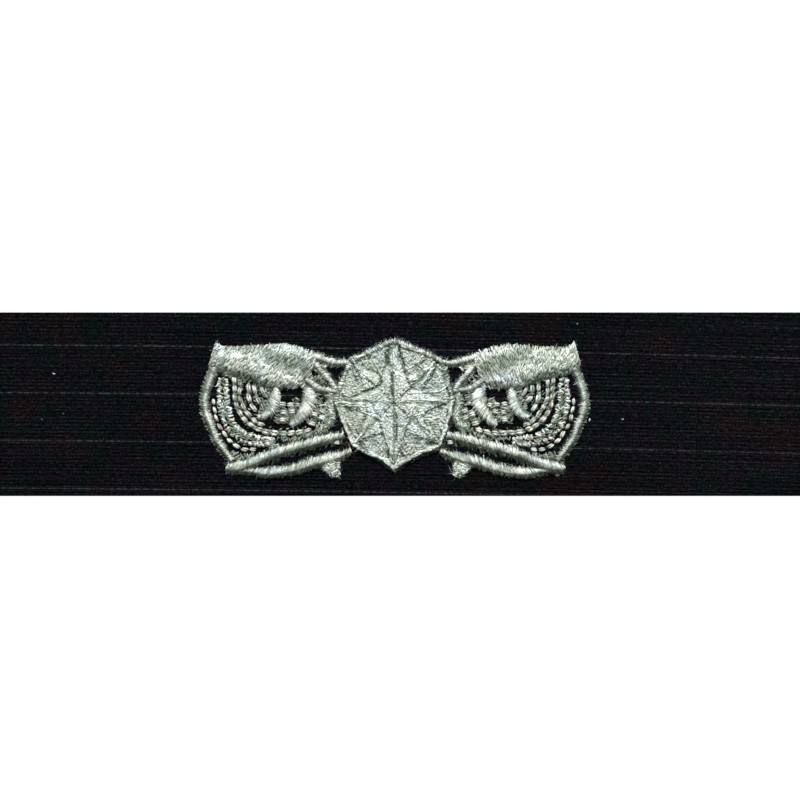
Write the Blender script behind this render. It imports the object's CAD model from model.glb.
"""Dresses the embroidered badge: real threads sewn over the pads, and the ribbed cloth under them.

Lengths are in millimetres until a mesh is made, and then in metres. The strip lies on z = 0.
+X runs along the strip, +Y is up the badge and +Z is out of the cloth.
"""

import logging
import math
import zlib
from dataclasses import dataclass, field, replace
from enum import Enum

import bpy
import numpy as np
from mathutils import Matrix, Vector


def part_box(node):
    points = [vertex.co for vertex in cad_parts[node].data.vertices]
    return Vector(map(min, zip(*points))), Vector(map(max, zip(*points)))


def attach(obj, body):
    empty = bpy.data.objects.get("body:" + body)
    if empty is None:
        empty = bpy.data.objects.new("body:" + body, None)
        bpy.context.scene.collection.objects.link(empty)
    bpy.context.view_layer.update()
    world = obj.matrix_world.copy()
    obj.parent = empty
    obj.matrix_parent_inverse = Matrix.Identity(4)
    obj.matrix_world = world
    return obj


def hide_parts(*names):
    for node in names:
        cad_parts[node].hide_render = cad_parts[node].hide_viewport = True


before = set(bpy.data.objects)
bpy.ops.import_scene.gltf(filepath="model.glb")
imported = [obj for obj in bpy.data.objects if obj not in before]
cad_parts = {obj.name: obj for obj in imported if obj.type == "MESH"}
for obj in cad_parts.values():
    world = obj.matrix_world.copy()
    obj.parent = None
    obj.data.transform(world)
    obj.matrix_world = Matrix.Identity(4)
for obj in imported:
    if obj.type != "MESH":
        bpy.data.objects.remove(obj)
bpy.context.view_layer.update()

Array = np.ndarray
Dice = np.random.Generator
Material = bpy.types.Material
Socket = bpy.types.NodeSocket
Settings = dict[str, object]
Colour = tuple[float, float, float, float]
# The two ends of a range
Span = tuple[float, float]

LOG = logging.getLogger("badge")
MM = 0.001
WORLD_UP = np.array([0.0, 0.0, 1.0])


def node_box_mm(node: str) -> tuple[Array, Array]:
    """Gives the lowest and highest corner of a CAD node, in millimetres."""
    low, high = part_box(node)
    return np.array(low) / MM, np.array(high) / MM


STRIP_LOW, STRIP_HIGH = node_box_mm("cloth_strip")
STRIP_TOP = float(STRIP_HIGH[2])
FIELD_TOP = float(node_box_mm("rose_field")[1][2])

# Where the embroidery sits on the strip, as the CAD part places it
BADGE_X = -1.1
BADGE_Y = 0.0
ROSE_LIFT = 0.2

# The photograph's frame: pixels across it, pixels per millimetre, and the row of the badge's axis
PHOTO_SIDE_PX = 800
PX_PER_MM = 5.797
AXIS_ROW_PX = 404.1


class Side(Enum):
    """Which side of the rose a wing is on, with the sign of its outward direction."""

    LEFT = -1
    RIGHT = 1


class Slot(Enum):
    """The record's material slots."""

    CLOTH = "strip_cloth"
    SATIN = "satin_thread"
    GROUND = "ground_thread"
    ROWS = "row_thread"


# Corners of the rose's cord, clockwise from the north.
# Columns: x, y, outward bulge of the side that follows
ROSE_CORNERS = (
    (0, 10.7, 0.15), (8.2, 7.2, 0.1), (10.1, 0.15, 0.1), (7.85, -7.4, -0.4), (0.1, -11.3, -0.45),
    (-7, -7.25, 0), (-10, 0.15, 0.2), (-7.35, 7.05, 0.1),
)
COMPASS = ("n", "ne", "e", "se", "s", "sw", "w", "nw")
# Brightness of each point's slopes, the anticlockwise one first, and of the ground that follows it clockwise
ROSE_TONES = (
    (1, 1.5, 0.9), (1.15, 1.15, 0.8), (1.25, 1.2, 0.85), (1.25, 1.5, 0.8), (1, 1.2, 0.7), (1.3, 0.8, 0.75),
    (1.7, 0.8, 0.9), (1.45, 1.3, 0.8),
)

# The wing tables give one wing: x runs outwards from the rose, y up from the wings' axis.
# Columns of the crest, from the cut end inwards: low x, low y, top x, top y, height
CREST = (
    (31.8, 6.8, 30.7, 10.8, 0.45), (31.1, 6.2, 29.9, 10.1, 0.75), (29.6, 5.3, 28.5, 9.9, 0.95),
    (27, 4.8, 26.1, 9.9, 1.05), (24.6, 4.1, 23.6, 10.1, 1.1), (22.2, 3.1, 21.2, 10.3, 1.15),
    (20, 2.7, 19, 10.4, 1.15), (17.9, 2.8, 17, 10.1, 1.15), (16.2, 3.2, 15.3, 9.5, 1.05),
    (15.2, 3.9, 14.2, 9, 0.9), (14.3, 5, 13.2, 8.6, 0.7),
)

# Columns of every wing table from here on: x, y, half width, height
CREST_CORD = ((12.95, 8.1, 0.5, 0.7), (11.3, 7.55, 0.5, 0.75), (9.8, 7.2, 0.45, 0.7), (8.6, 7.2, 0.35, 0.6))
CREST_STRUT = ((13, 6.4, 0.4, 0.6), (12.1, 5.4, 0.45, 0.75), (11.2, 4.4, 0.42, 0.75), (10.5, 3.5, 0.35, 0.55))
CREST_TAIL = ((14.6, 4, 0.4, 0.55), (13.5, 3.2, 0.5, 0.7), (12.3, 2.6, 0.42, 0.65), (10.9, 2.4, 0.32, 0.5))
OUTLINE_CORD = (
    (31.2, 5.4, 0.4, 0.6), (31.9, 3.6, 0.45, 0.75), (32.4, 1.75, 0.47, 0.8), (32.55, 0.3, 0.48, 0.8),
    (32.25, -1.7, 0.46, 0.8), (31.35, -3.95, 0.44, 0.8), (30.65, -5.7, 0.42, 0.75),
    (29.75, -7.2, 0.4, 0.75), (28.6, -8.75, 0.36, 0.6),
)
DOT_ROW = (
    (31.15, 1.2, 0.2, 0.35), (30.85, -1.2, 0.2, 0.4), (30.3, -3.3, 0.22, 0.4), (29.2, -5.1, 0.22, 0.4),
    (27.9, -6.7, 0.24, 0.45), (25.9, -7.8, 0.24, 0.45), (23.4, -7.8, 0.2, 0.35),
)
ZIGZAG_BAND = (
    (29.4, 4.1, 0.8, 0.4), (29.4, 1.4, 1, 0.5), (29.15, -1, 1.05, 0.5), (28.4, -3.2, 1.05, 0.5),
    (26.9, -5, 1.05, 0.5), (24.75, -6.1, 1, 0.5), (22.5, -6.4, 0.9, 0.5), (20.6, -6.4, 0.6, 0.4),
)
DOUBLE_ROW_OUTER = (
    (27.5, 4.3, 0.3, 0.4), (27.4, 2.6, 0.32, 0.45), (27.35, 0.9, 0.32, 0.45), (26.95, -0.7, 0.32, 0.45),
    (26.2, -2.1, 0.32, 0.45), (25, -3.4, 0.34, 0.45), (23.2, -4.4, 0.36, 0.5), (21.3, -4.85, 0.38, 0.5),
    (18.9, -5.05, 0.4, 0.5), (16.5, -4.95, 0.38, 0.5), (14.1, -4.3, 0.3, 0.4),
)
DOUBLE_ROW_INNER = (
    (26.55, 3.2, 0.28, 0.4), (26.5, 1.1, 0.3, 0.45), (25.9, -0.45, 0.3, 0.45), (24.9, -1.95, 0.3, 0.45),
    (23.7, -3.1, 0.3, 0.45), (22.3, -3.75, 0.26, 0.4),
)
SHORT_ROW_OUTER = (
    (25, 3.1, 0.32, 0.4), (25, 1.1, 0.36, 0.45), (24.3, -0.5, 0.34, 0.45), (23.8, -1.3, 0.26, 0.35),
)
SHORT_ROW_MIDDLE = ((23.95, 2.6, 0.3, 0.4), (23.6, 1.1, 0.36, 0.45), (22.95, 0.1, 0.26, 0.35))
SHORT_ROW_INNER = ((22.85, 2.7, 0.24, 0.4), (22.5, 1.8, 0.28, 0.45), (22.1, 1.2, 0.22, 0.35))
SCROLL_INNER = (
    (20.3, 2.3, 0.5, 0.55), (20.5, 1, 0.75, 0.7), (20.85, -0.3, 0.78, 0.75), (21.5, -1.4, 0.65, 0.75),
    (22.5, -2.1, 0.42, 0.65), (23.4, -2.25, 0.25, 0.45),
)
SCROLL_OUTER = (
    (14.7, 2.1, 0.8, 0.6), (14.6, 0.7, 1.1, 0.75), (15, -0.7, 1, 0.8), (15.9, -1.95, 0.8, 0.8),
    (16.9, -2.95, 0.55, 0.7), (17.7, -3.7, 0.3, 0.45),
)
SCROLL_WEB = (
    (10.85, 1.1, 0.32, 0.4), (10.85, -0.6, 0.45, 0.5), (10.6, -2, 0.55, 0.55), (11, -3.3, 0.55, 0.5),
    (12.1, -3.95, 0.35, 0.4),
)
BAR_UPPER = (
    (28.95, -11, 0.35, 0.5), (27.8, -10.9, 0.72, 0.8), (26.4, -10.7, 0.82, 0.9), (25, -10.25, 0.74, 0.9),
    (23.5, -9.65, 0.7, 0.9), (21.8, -8.95, 0.7, 0.9), (20, -8.3, 0.7, 0.9), (18, -7.7, 0.7, 0.9),
    (16, -7.2, 0.7, 0.9), (13.9, -6.6, 0.68, 0.9), (11.7, -6, 0.65, 0.85), (9.5, -5.5, 0.5, 0.65),
)
BAR_LOWER = (
    (24.4, -11.5, 0.35, 0.5), (23.2, -11.65, 0.55, 0.75), (21.3, -11.7, 0.65, 0.85),
    (18.9, -11.45, 0.7, 0.9), (16.5, -10.85, 0.75, 0.9), (14.1, -10.05, 0.82, 0.9),
    (11.8, -9.5, 0.82, 0.85), (9.7, -8.95, 0.62, 0.8), (8.1, -8.35, 0.35, 0.6),
)
TAIL_TAB = (
    (10.75, -10.6, 1.55, 0.6), (10.5, -11.15, 1.35, 0.7), (10.1, -11.8, 1, 0.65), (9.35, -12.3, 0.35, 0.4),
)

# How the right wing departs from the left one, outwards and upwards
RIGHT_DRIFT = {
    "crest": (0.45, -0.1),
    "crest_cord": (0.6, -0.05),
    "crest_strut": (0.7, 0.1),
    "crest_tail": (0.6, 0.1),
    "outline_cord": (0.35, 0.0),
    "scroll_web": (0.3, 0.0),
    "bar_upper": (0.6, 0.0),
    "bar_lower": (0.8, 0.0),
    "tail_tab": (1.0, 0.0),
}

# Dark grooves between the rose's stitches, charted by hand in the photograph's pixels.
# Columns: start x, start y, end x, end y, half width
GROOVES = (
    (398.8, 347, 401, 357, 2), (401, 355, 403.4, 366, 2.7), (405, 349, 407.5, 350, 1),
    (423.8, 360.7, 421, 363.5, 1.6), (421, 363, 414.3, 368.5, 1.1), (429.3, 369.4, 423.8, 374.4, 1),
    (423.8, 374.4, 417.5, 381.2, 1), (434, 364.5, 433.4, 365.5, 1.5), (435.6, 367, 431.5, 378, 1.1),
    (431.5, 378, 426, 383.5, 1.1), (408.8, 384.4, 411.5, 381.4, 1.5), (411.5, 381.2, 415.6, 381.2, 1.4),
    (401, 398, 407, 390.7, 1), (407, 390.7, 414, 383.5, 0.8), (421, 387.3, 429, 388.6, 1.2),
    (447.5, 387.5, 449.3, 396.6, 1.1), (403.4, 403.2, 416, 402.6, 1), (416, 402.8, 446, 404.2, 0.9),
    (404.7, 370, 405.2, 372.5, 1.1), (425, 401, 427, 398.6, 0.8), (352.4, 366.6, 353.3, 374.2, 1),
    (353.3, 374.2, 357.6, 381, 1.2), (350, 369, 350.6, 370, 1.3), (363.8, 377.6, 371.9, 382.8, 1),
    (371.9, 382.8, 375.9, 386, 1.2), (375.9, 386, 380.2, 385.4, 1.4), (380.2, 385.4, 382.4, 380, 1.1),
    (382.4, 380, 377, 372.6, 1), (361, 392.3, 368, 389.4, 1.1), (368, 389.4, 374, 387.6, 1.2),
    (389.6, 348, 386.6, 353, 1.6), (386.8, 353, 388, 363, 3), (390.9, 364.7, 391.1, 366, 1.3),
    (391.4, 373, 392.4, 383, 1.6), (362.4, 364.7, 364, 365.5, 1.8), (370, 357, 368.6, 359, 1.2),
    (358.6, 374, 358.9, 374.8, 1.1), (342, 394.2, 344.3, 397.4, 1.5), (344.3, 400.4, 348, 400.4, 0.9),
    (350, 400.2, 353.5, 400.5, 1), (355.5, 400.6, 360.5, 400.4, 1), (363.5, 400.2, 367.5, 401, 1.3),
    (370, 402, 372.5, 402.4, 1.3), (391, 386, 393.3, 396, 1.5), (395.6, 409, 396.6, 418, 1.2),
    (396.8, 424, 396.6, 440, 1.3), (343.6, 406, 347.4, 408.5, 1.4), (347.4, 408.5, 353, 411.4, 1.1),
    (338.4, 406, 338.8, 407, 1.5), (365, 416, 366, 416.6, 1.2), (369, 424.8, 365.8, 429.2, 1.3),
    (375, 419, 379, 421, 1.9), (356, 429.5, 359, 434.2, 1.5), (355.6, 437, 356.2, 438.2, 1.2),
    (360.2, 441.8, 360.6, 445.6, 1.8), (362.6, 447.2, 368.2, 450.4, 1.3), (388, 449.6, 388.4, 457, 1.6),
    (386.3, 416.4, 393.7, 416.4, 0.8), (394, 418.4, 394.6, 419.6, 1.2), (393.4, 427.8, 395, 426.4, 1.1),
    (395, 438, 395.8, 439.2, 1), (375.3, 434, 375.5, 435.6, 1.1), (382, 432, 382.2, 435.8, 1),
    (366.4, 440, 367.2, 441, 1.1), (346.6, 423.8, 352, 431.5, 1), (410, 424.4, 412, 419.4, 1.5),
    (412, 419.2, 416.4, 418.5, 1.5), (416.4, 418.5, 419.6, 424.2, 1.3), (419.6, 424.2, 427.9, 430.6, 1.1),
    (427.9, 430.6, 430.6, 434.4, 0.9), (430, 422.6, 430.4, 425.4, 1), (432.6, 427.5, 435.4, 434.6, 0.9),
    (447.4, 409.6, 446.8, 416, 1.1), (441, 431, 441.2, 433.8, 1.1), (438.2, 437.6, 439.6, 439.2, 1.1),
    (415.8, 437.8, 419.5, 439.8, 1.4), (419.5, 439.8, 422.8, 437.8, 1.2), (427, 443, 433.2, 443.4, 2),
    (404.6, 445.2, 406, 443.6, 1.2), (405.4, 436.4, 406.8, 437.6, 0.9), (416.2, 448.2, 416.8, 449, 1),
    (400.4, 450.4, 403, 455.6, 1.8), (402.8, 456.4, 410.2, 453.6, 0.9), (405.8, 427.4, 410.6, 430.8, 0.8),
    (440, 408.4, 442, 408.6, 1.1),
)

# Broad bands of a wing that look brighter or darker than the rest.
# Each has its half width, the share by which its middle is brighter, and the points of its run.
WING_BANDS = (
    (1.3, 0.26, ((30.7, 9.2), (27.2, 8.25), (23.55, 6.8), (19.85, 5.3), (16.65, 4.3), (14.4, 3.1))),
    (1.7, -0.56, ((21.2, 8.3), (20.4, 7.8), (19.2, 7.5), (16.8, 6.9), (15.2, 6.3))),
    (0.9, 0.5, ((20.6, 4.6), (18, 4.4), (16.2, 4.2), (15.4, 3.8))),
    (0.9, -0.6, ((29, 10.3), (26.4, 10.2), (24, 10.4), (20.4, 10.8), (16.8, 10.7))),
    (0.45, 0.1, ((21.6, 9.8), (17.6, 9.8), (13.7, 8.75))),
    (0.8, -0.5, ((29.7, 6.2), (25.3, 4.8), (22.6, 3.5))),
    (0.5, -0.2, ((28.97, 9.5), (22.55, 9.2))),
)

# Bright threads laid over the rose, charted in the same way.
# Each has its half width in pixels and the points of its run.
STRANDS = (
    (1.3, ((399.3, 343.2), (403.4, 346.6), (410.2, 348.9), (417.5, 351.4), (424.7, 352.3))),
    (1.2, ((422.6, 356), (417.5, 362), (411.5, 366.8), (406.6, 369.8))),
    (1.1, ((405.6, 353.6), (403.6, 358))),
    (1.2, ((435.2, 362), (431, 365.3), (428, 368.8), (423.4, 371))),
    (1.2, ((434.6, 367), (430.8, 370.4), (428.2, 374.6), (425.8, 379), (420.6, 384.4))),
    (1.3, ((437.6, 365), (440.4, 369), (445, 369.6), (447.6, 366))),
    (1.2, ((448, 385.3), (443.4, 388.8), (438.4, 391.6), (432.6, 391.8))),
    (1.1, ((436.6, 372), (439.4, 377), (441, 383))),
    (1.4, ((393.2, 350), (393.8, 358), (394.2, 366), (394, 372))),
    (1.3, ((395.8, 351), (396.4, 360), (395.8, 370))),
    (1.2, ((396, 374), (397.2, 382), (396.4, 391))),
    (1.4, ((346, 363), (350.4, 358.6), (354.2, 357), (358.8, 357.4), (364.3, 355.6))),
    (1.1, ((353.6, 362.6), (356.8, 366.8), (359.8, 370.6), (363.3, 374.2), (367, 376.4))),
    (1.1, ((376.4, 367), (379.4, 371.2), (381.6, 376))),
    (1.1, ((343, 378.6), (345.8, 374.6))),
    (1.5, ((336.4, 403.2), (343, 402.4), (351, 403.4), (358, 403.6), (366, 404.6))),
    (1.3, ((342, 405.2), (350, 405.6), (360, 406.2), (368, 407))),
    (1.2, ((338.2, 408.6), (340.8, 417.6), (344.4, 424))),
    (1.5, ((344.6, 426), (346.8, 431.7), (349.4, 437.4), (351.4, 442), (354.2, 443))),
    (1.5, ((353.9, 443), (357.4, 439.4), (361.4, 435), (364.4, 432))),
    (1.1, ((360.2, 430.4), (364.2, 426.4), (367.4, 421.4))),
    (1.6, ((354.4, 451.4), (359.4, 448.6), (363.8, 451.6), (370, 454.2), (377.4, 457), (383.6, 459.2))),
    (1.2, ((384.6, 459.2), (390, 462))),
    (1.1, ((381.7, 415), (381.6, 421.6))),
    (1.2, ((391, 449), (390.4, 456), (391.2, 462))),
    (1.4, ((393, 467), (393.6, 470.4), (396.4, 471.4))),
    (1.2, ((392.6, 468.4), (395.2, 464), (398.2, 460))),
    (1.2, ((400.2, 436.6), (402.6, 441), (400.6, 444.6), (398, 447.6))),
    (1.2, ((401.4, 463.4), (406, 460), (413.2, 455.4), (419.6, 452.2), (426.8, 450.6), (434, 448.8))),
    (1.4, ((446.9, 425.8), (445.8, 431.7), (442.8, 436.2), (440.2, 441.2))),
    (1.1, ((414.7, 416.2), (420, 413.8), (424.6, 412))),
    (1.2, ((425.6, 416.4), (431, 416.2))),
    (1.2, ((426.4, 419), (434.7, 419), (438, 417.2), (442, 420.2), (444.8, 423.6))),
    (1.4, ((450, 409.6), (450.6, 412.6), (451, 416.6))),
    (1.4, ((435.4, 449.4), (440.6, 450.4), (445.6, 455), (449, 459.6))),
    (1.1, ((428.2, 426), (430.2, 430), (432.4, 434.2))),
    (1.2, ((384.4, 391), (380.6, 396), (376, 400.4))),
    (1.2, ((408, 394), (416, 392.6), (426, 392))),
    (1.2, ((410, 400.4), (420, 399.6), (430, 400.6), (440, 400.2))),
    (1.1, ((396.4, 410), (398.4, 418), (400.4, 426))),
    (2.4, ((443.6, 359.8), (443.8, 363.4))),
)

# Specks of lint on the cloth. Columns: x, y, size, brightness
LINT = (
    (-59.7, 5.2, 0.5, 0.7), (32.7, -2.8, 0.6, 1.1), (38.4, -2.65, 0.45, 0.45), (-61.8, -2.65, 0.3, 0.15),
    (-58.1, -1.7, 0.3, 0.1), (30.6, 13.8, 0.3, 0.2),
)

# Depth to which a stitch's ends go under the cloth's face
PLUNGE = 0.14
# Brightness of the padding that shows between stitches
PADDING_TONE = 0.4
# Brightness of the loose layer under satin stitches, as a share of theirs
FRINGE_TONE = 0.32
# Power of the distance from its middle by which a stitch narrows
TAPER_POWER = 2.5
# Least and greatest brightness of a stitch, before it fades along its way
TONE_LIMITS = (0.3, 3.0)
# Least and greatest share of warm colour in a warm stitch
WARM_RANGE = (0.4, 1.0)
# How much lower or higher stitches lie than usual, in half heights of their thread
SINK_RANGE = (-0.8, 0.4)
# Fibres of the fuzz to a square millimetre of the wings' pads, and of the rose
PAD_FUZZ = 2.5
ROSE_FUZZ = 1.5
# Points along one stitch of each sort
SATIN_STATIONS = 7
FILL_STATIONS = 5
DASH_STATIONS = 7
FIBRE_STATIONS = 3
# Stations from one row of a table to the next
ROW_STEPS = 6


def dice(name: str) -> Dice:
    """Gives a piece its own random numbers, seeded by its name and so the same in each run."""
    return np.random.default_rng(zlib.crc32(name.encode()))


def unit(vectors: Array) -> Array:
    """Scales vectors, which lie along the last axis, to length 1."""
    return vectors / np.maximum(np.linalg.norm(vectors, axis=-1, keepdims=True), 1e-9)


def heading(angles: Array) -> Array:
    """Gives the level direction (cos a, sin a) of each angle a, in radians."""
    return np.stack([np.cos(angles), np.sin(angles)], axis=-1)


def square_to(ways: Array) -> Array:
    """Turns level directions anticlockwise by a quarter turn, (x, y) to (-y, x)."""
    return np.stack([-ways[..., 1], ways[..., 0]], axis=-1)


def lifted(flat: Array, height: float | Array) -> Array:
    """Puts level points, with x and y on the last axis, at heights."""
    return np.concatenate([flat, np.broadcast_to(height, flat.shape[:-1])[..., None]], axis=-1)


def arch_over(t: Array) -> Array:
    """Gives the height of an arch at shares t of its way: the root of a half sine."""
    return np.sqrt(np.clip(np.sin(np.pi * t), 0.0, 1.0))


def smooth_rows(rows: Array, steps: int) -> Array:
    """Adds smooth stations between a table's rows.

    The curve is a Catmull-Rom spline: half of 2b + (c - a)t + (2a - 5b + 4c - d)t^2 + (3b - a - 3c + d)t^3
    between rows b and c, with a and d the rows around them.

    Args:
        rows: Table of shape (rows, columns).
        steps: Stations from each row to the next.

    Returns:
        The stations, with the last row at the end.
    """
    held = np.vstack([rows[:1], rows, rows[-1:]])
    a, b, c, d = held[:-3, None], held[1:-2, None], held[2:-1, None], held[3:, None]
    t = (np.arange(steps) / steps)[None, :, None]
    curve = 0.5 * (2 * b + (c - a) * t + (2 * a - 5 * b + 4 * c - d) * t**2 + (3 * b - a - 3 * c + d) * t**3)
    return np.vstack([curve.reshape(-1, rows.shape[1]), rows[-1:]])


def charted(pixels: Array) -> Array:
    """Turns places charted in the photograph's pixels into millimetres.

    Args:
        pixels: Columns and rows of the photograph, by turns along the last axis.

    Returns:
        x and y, in the same order.
    """
    places = (pixels - PHOTO_SIDE_PX / 2) / PX_PER_MM
    places[..., 1::2] = (AXIS_ROW_PX - pixels[..., 1::2]) / PX_PER_MM
    return places


def way_along(points: Array) -> Array:
    """Gives the distance of each point of a line from its first one, on the way along the line's points."""
    steps = np.linalg.norm(np.diff(points, axis=-2), axis=-1)
    return np.concatenate([np.zeros_like(steps[..., :1]), np.cumsum(steps, axis=-1)], axis=-1)


def along_line(line: Array, at: Array, share: Array) -> Array:
    """Finds rows of a line at shares of its way, straight between its own rows, whose shares are given."""
    return np.stack([np.interp(share, at, line[:, c]) for c in range(line.shape[1])], axis=-1)


@dataclass
class MeshPart:
    """Vertices, four-sided faces and thread attributes on their way to one mesh."""

    vertices: Array  # Points in millimetres
    faces: Array  # Corner indices, four to a face
    attributes: dict[str, Array] = field(default_factory=dict)  # One number per vertex under each name

    @staticmethod
    def join(parts: list["MeshPart"]) -> "MeshPart":
        """Puts several parts into one.

        Args:
            parts: Parts with the same attribute names.

        Returns:
            One part that holds them all.
        """
        starts = np.cumsum([0] + [len(p.vertices) for p in parts[:-1]])
        return MeshPart(
            np.vstack([p.vertices for p in parts]),
            np.vstack([p.faces + start for p, start in zip(parts, starts)]),
            {name: np.concatenate([p.attributes[name] for p in parts]) for name in parts[0].attributes},
        )

    @staticmethod
    def plain(points: Array, faces: Array, tone: float) -> "MeshPart":
        """Makes a part that isn't thread, all of one brightness."""
        none = np.zeros(len(points))
        return MeshPart(points, faces, {"along": none, "across": none, "tone": none + tone, "warm": none})

    def to_object(self, name: str, material: Material) -> bpy.types.Object:
        """Makes a smooth-shaded object whose place is in its mesh.

        Args:
            name: Name of the object.
            material: Its finish.

        Returns:
            The new object, linked to the scene.
        """
        mesh = bpy.data.meshes.new(name)
        mesh.from_pydata((self.vertices * MM).tolist(), [], self.faces.tolist())
        for key, values in self.attributes.items():
            layer = mesh.attributes.new(key, "FLOAT", "POINT")
            layer.data.foreach_set("value", values.astype(np.float32))
        mesh.polygons.foreach_set("use_smooth", np.ones(len(mesh.polygons), bool))
        mesh.materials.append(material)
        mesh.update()
        thing = bpy.data.objects.new(name, mesh)
        bpy.context.scene.collection.objects.link(thing)
        return thing


def ring_faces(rings: int, around: int) -> Array:
    """Joins closed rings of points in a row.

    Face (i, j) joins points (i, j), (i + 1, j), (i + 1, j + 1) and (i, j + 1), with j counted round the ring.

    Args:
        rings: Number of rings.
        around: Points in a ring.

    Returns:
        Corner indices of shape (faces, 4).
    """
    i, j = np.meshgrid(np.arange(rings - 1), np.arange(around), indexing="ij")
    k = (j + 1) % around
    corners = [i * around + j, (i + 1) * around + j, (i + 1) * around + k, i * around + k]
    return np.stack(corners, axis=-1).reshape(-1, 4)


def cap_faces(ring: Array) -> Array:
    """Closes an even ring of indices, in the order that faces outwards, by a fan of four-sided faces."""
    first = np.arange(1, len(ring) - 2, 2)
    return ring[np.stack([np.zeros_like(first), first, first + 1, first + 2], axis=1)]


def closed_faces(rings: int, around: int, turn: int) -> Array:
    """Joins closed rings of points in a row, as ring_faces does, and closes both ends.

    Args:
        rings: Number of rings.
        around: Points in a ring, an even number.
        turn: 1 where a ring's points go anticlockwise, seen along the travel, and -1 where they go clockwise.

    Returns:
        Corner indices of shape (faces, 4).
    """
    loop = np.arange(around)[::turn]
    caps = [cap_faces(loop), cap_faces(loop[::-1] + (rings - 1) * around)]
    return np.vstack([ring_faces(rings, around)[:, ::turn], *caps])


def away_from(points: Array, start: Array, end: Array) -> Array:
    """Gives the distance of points from the straight run between two others.

    Args:
        points: Points of shape (points, 2).
        start: Where the run starts.
        end: Where it ends.

    Returns:
        The distance of each point.
    """
    run = end - start
    t = np.clip((points - start) @ run / (run @ run), 0.0, 1.0)
    return np.linalg.norm(points - start - t[:, None] * run, axis=1)


@dataclass(frozen=True)
class Relief:
    """Dark lines, in which the stitches lie deeper."""

    lines: Array  # Rows of start x, start y, end x, end y, half width and strength, in millimetres
    depth: float = 0.08  # How far the stitches go down in a line's middle
    shade: float = 0.93  # How much darker they are there

    def press(self, part: MeshPart) -> None:
        """Lowers and darkens a part's threads near the lines.

        At distance d from a line of half width w its share is its strength times 1 - (d / w)^4. The greatest
        share over all lines counts, if above 0: z falls by depth * share, and the tone by its part of shade.

        Args:
            part: The part, which is changed in place.
        """
        places = part.vertices[:, :2]
        share = np.zeros(len(places))
        for row in self.lines:
            away = away_from(places, row[:2], row[2:4])
            share = np.maximum(share, row[5] * (1 - (away / row[4]) ** 4))
        part.vertices[:, 2] -= self.depth * share
        part.attributes["tone"] = part.attributes["tone"] * (1 - self.shade * share)


@dataclass
class DomedPatch:
    """A strip of surface between two edges, raised between them."""

    left: Array  # Points of the left edge, of shape (stations, 3), in the direction of travel
    right: Array  # Points of the right edge
    rise: Array  # Height over the straight line between the edges, at each station
    bow: float = 2.0  # Power of the distance from the middle: 2 gives a dome and 1 a ridge
    fullness: float = 0.35  # Power of the whole profile, where a small value gives a flatter top
    length: float = field(init=False)  # Length of the middle line
    share: Array = field(init=False)  # Share of it that lies before each station

    def __post_init__(self) -> None:
        """Works out the length of the middle line and the share of it at each station."""
        run = way_along((self.left + self.right) / 2)
        self.length = float(run[-1])
        self.share = run / run[-1]

    def width(self, u: Array) -> Array:
        """Gives the distance between the edges at shares u of the way along."""
        gap = along_line(self.left, self.share, u) - along_line(self.right, self.share, u)
        return np.linalg.norm(gap, axis=-1)

    def at(self, u: Array, v: float | Array) -> Array:
        """Finds points of the surface.

        The height over the line between the edges is rise * (1 - |2v - 1|^bow)^fullness.

        Args:
            u: Share of the way along. Below 0 and above 1 it counts as those.
            v: Share of the way across, from 0 on the left edge to 1 on the right. Beyond them it lies flat.

        Returns:
            Points with x, y and z on the last axis.
        """
        u, v = np.broadcast_arrays(u, v)
        left = along_line(self.left, self.share, u)
        right = along_line(self.right, self.share, u)
        points = left + (right - left) * v[..., None]
        profile = np.clip(1 - np.abs(2 * v - 1) ** self.bow, 0.0, 1.0) ** self.fullness
        points[..., 2] += np.interp(u, self.share, self.rise) * profile
        return points

    def padding(self, keep: float = 0.82, sides: int = 7, tone: float = PADDING_TONE) -> MeshPart:
        """Makes the padding under the stitches: the same form drawn in a little and closed all round.

        A ring's points are those of the patch at even steps of a half turn across. Its height over the edges
        is cut to the share that it keeps, and its two low points sink into the cloth.

        Args:
            keep: Share of the width and height that it keeps.
            sides: Faces across it, an odd number.
            tone: Its brightness.

        Returns:
            A closed mesh.
        """
        turn = np.pi * np.arange(sides + 1) / sides
        points = self.at(self.share[:, None], 0.5 - 0.5 * keep * np.cos(turn))
        level = (self.left[:, 2] + self.right[:, 2])[:, None] / 2
        points[..., 2] = level + (points[..., 2] - level) * keep
        points[:, [0, -1], 2] = level - PLUNGE
        return MeshPart.plain(points.reshape(-1, 3), closed_faces(len(self.share), sides + 1, -1), tone)

    @staticmethod
    def from_rows(rows: Array, base: float, steps: int = ROW_STEPS, tails: Span = (0.0, 0.0)) -> "DomedPatch":
        """Makes a pad from rows of centre line, half width and height.

        Each edge is the centre line moved sideways by the half width, square to the line's direction.
        A tail runs on straight from the first or last row, as wide and high as that row.

        Args:
            rows: Table with x, y, half width and height.
            base: Height of the cloth under it.
            steps: Stations from each row to the next.
            tails: Length of the tail before the first row and after the last.

        Returns:
            The patch.
        """
        ends = []
        for tail, end, inner in ((tails[0], rows[0], rows[1]), (tails[1], rows[-1], rows[-2])):
            onwards = end.copy()
            onwards[:2] += unit(end[:2] - inner[:2]) * tail
            ends.append(onwards[None][: 1 if tail else 0])
        fine = smooth_rows(np.vstack([ends[0], rows, ends[1]]), steps)
        middle = fine[:, :2]
        side = square_to(unit(np.gradient(middle, axis=0))) * fine[:, 2:3]
        return DomedPatch(lifted(middle + side, base), lifted(middle - side, base), fine[:, 3])


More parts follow.
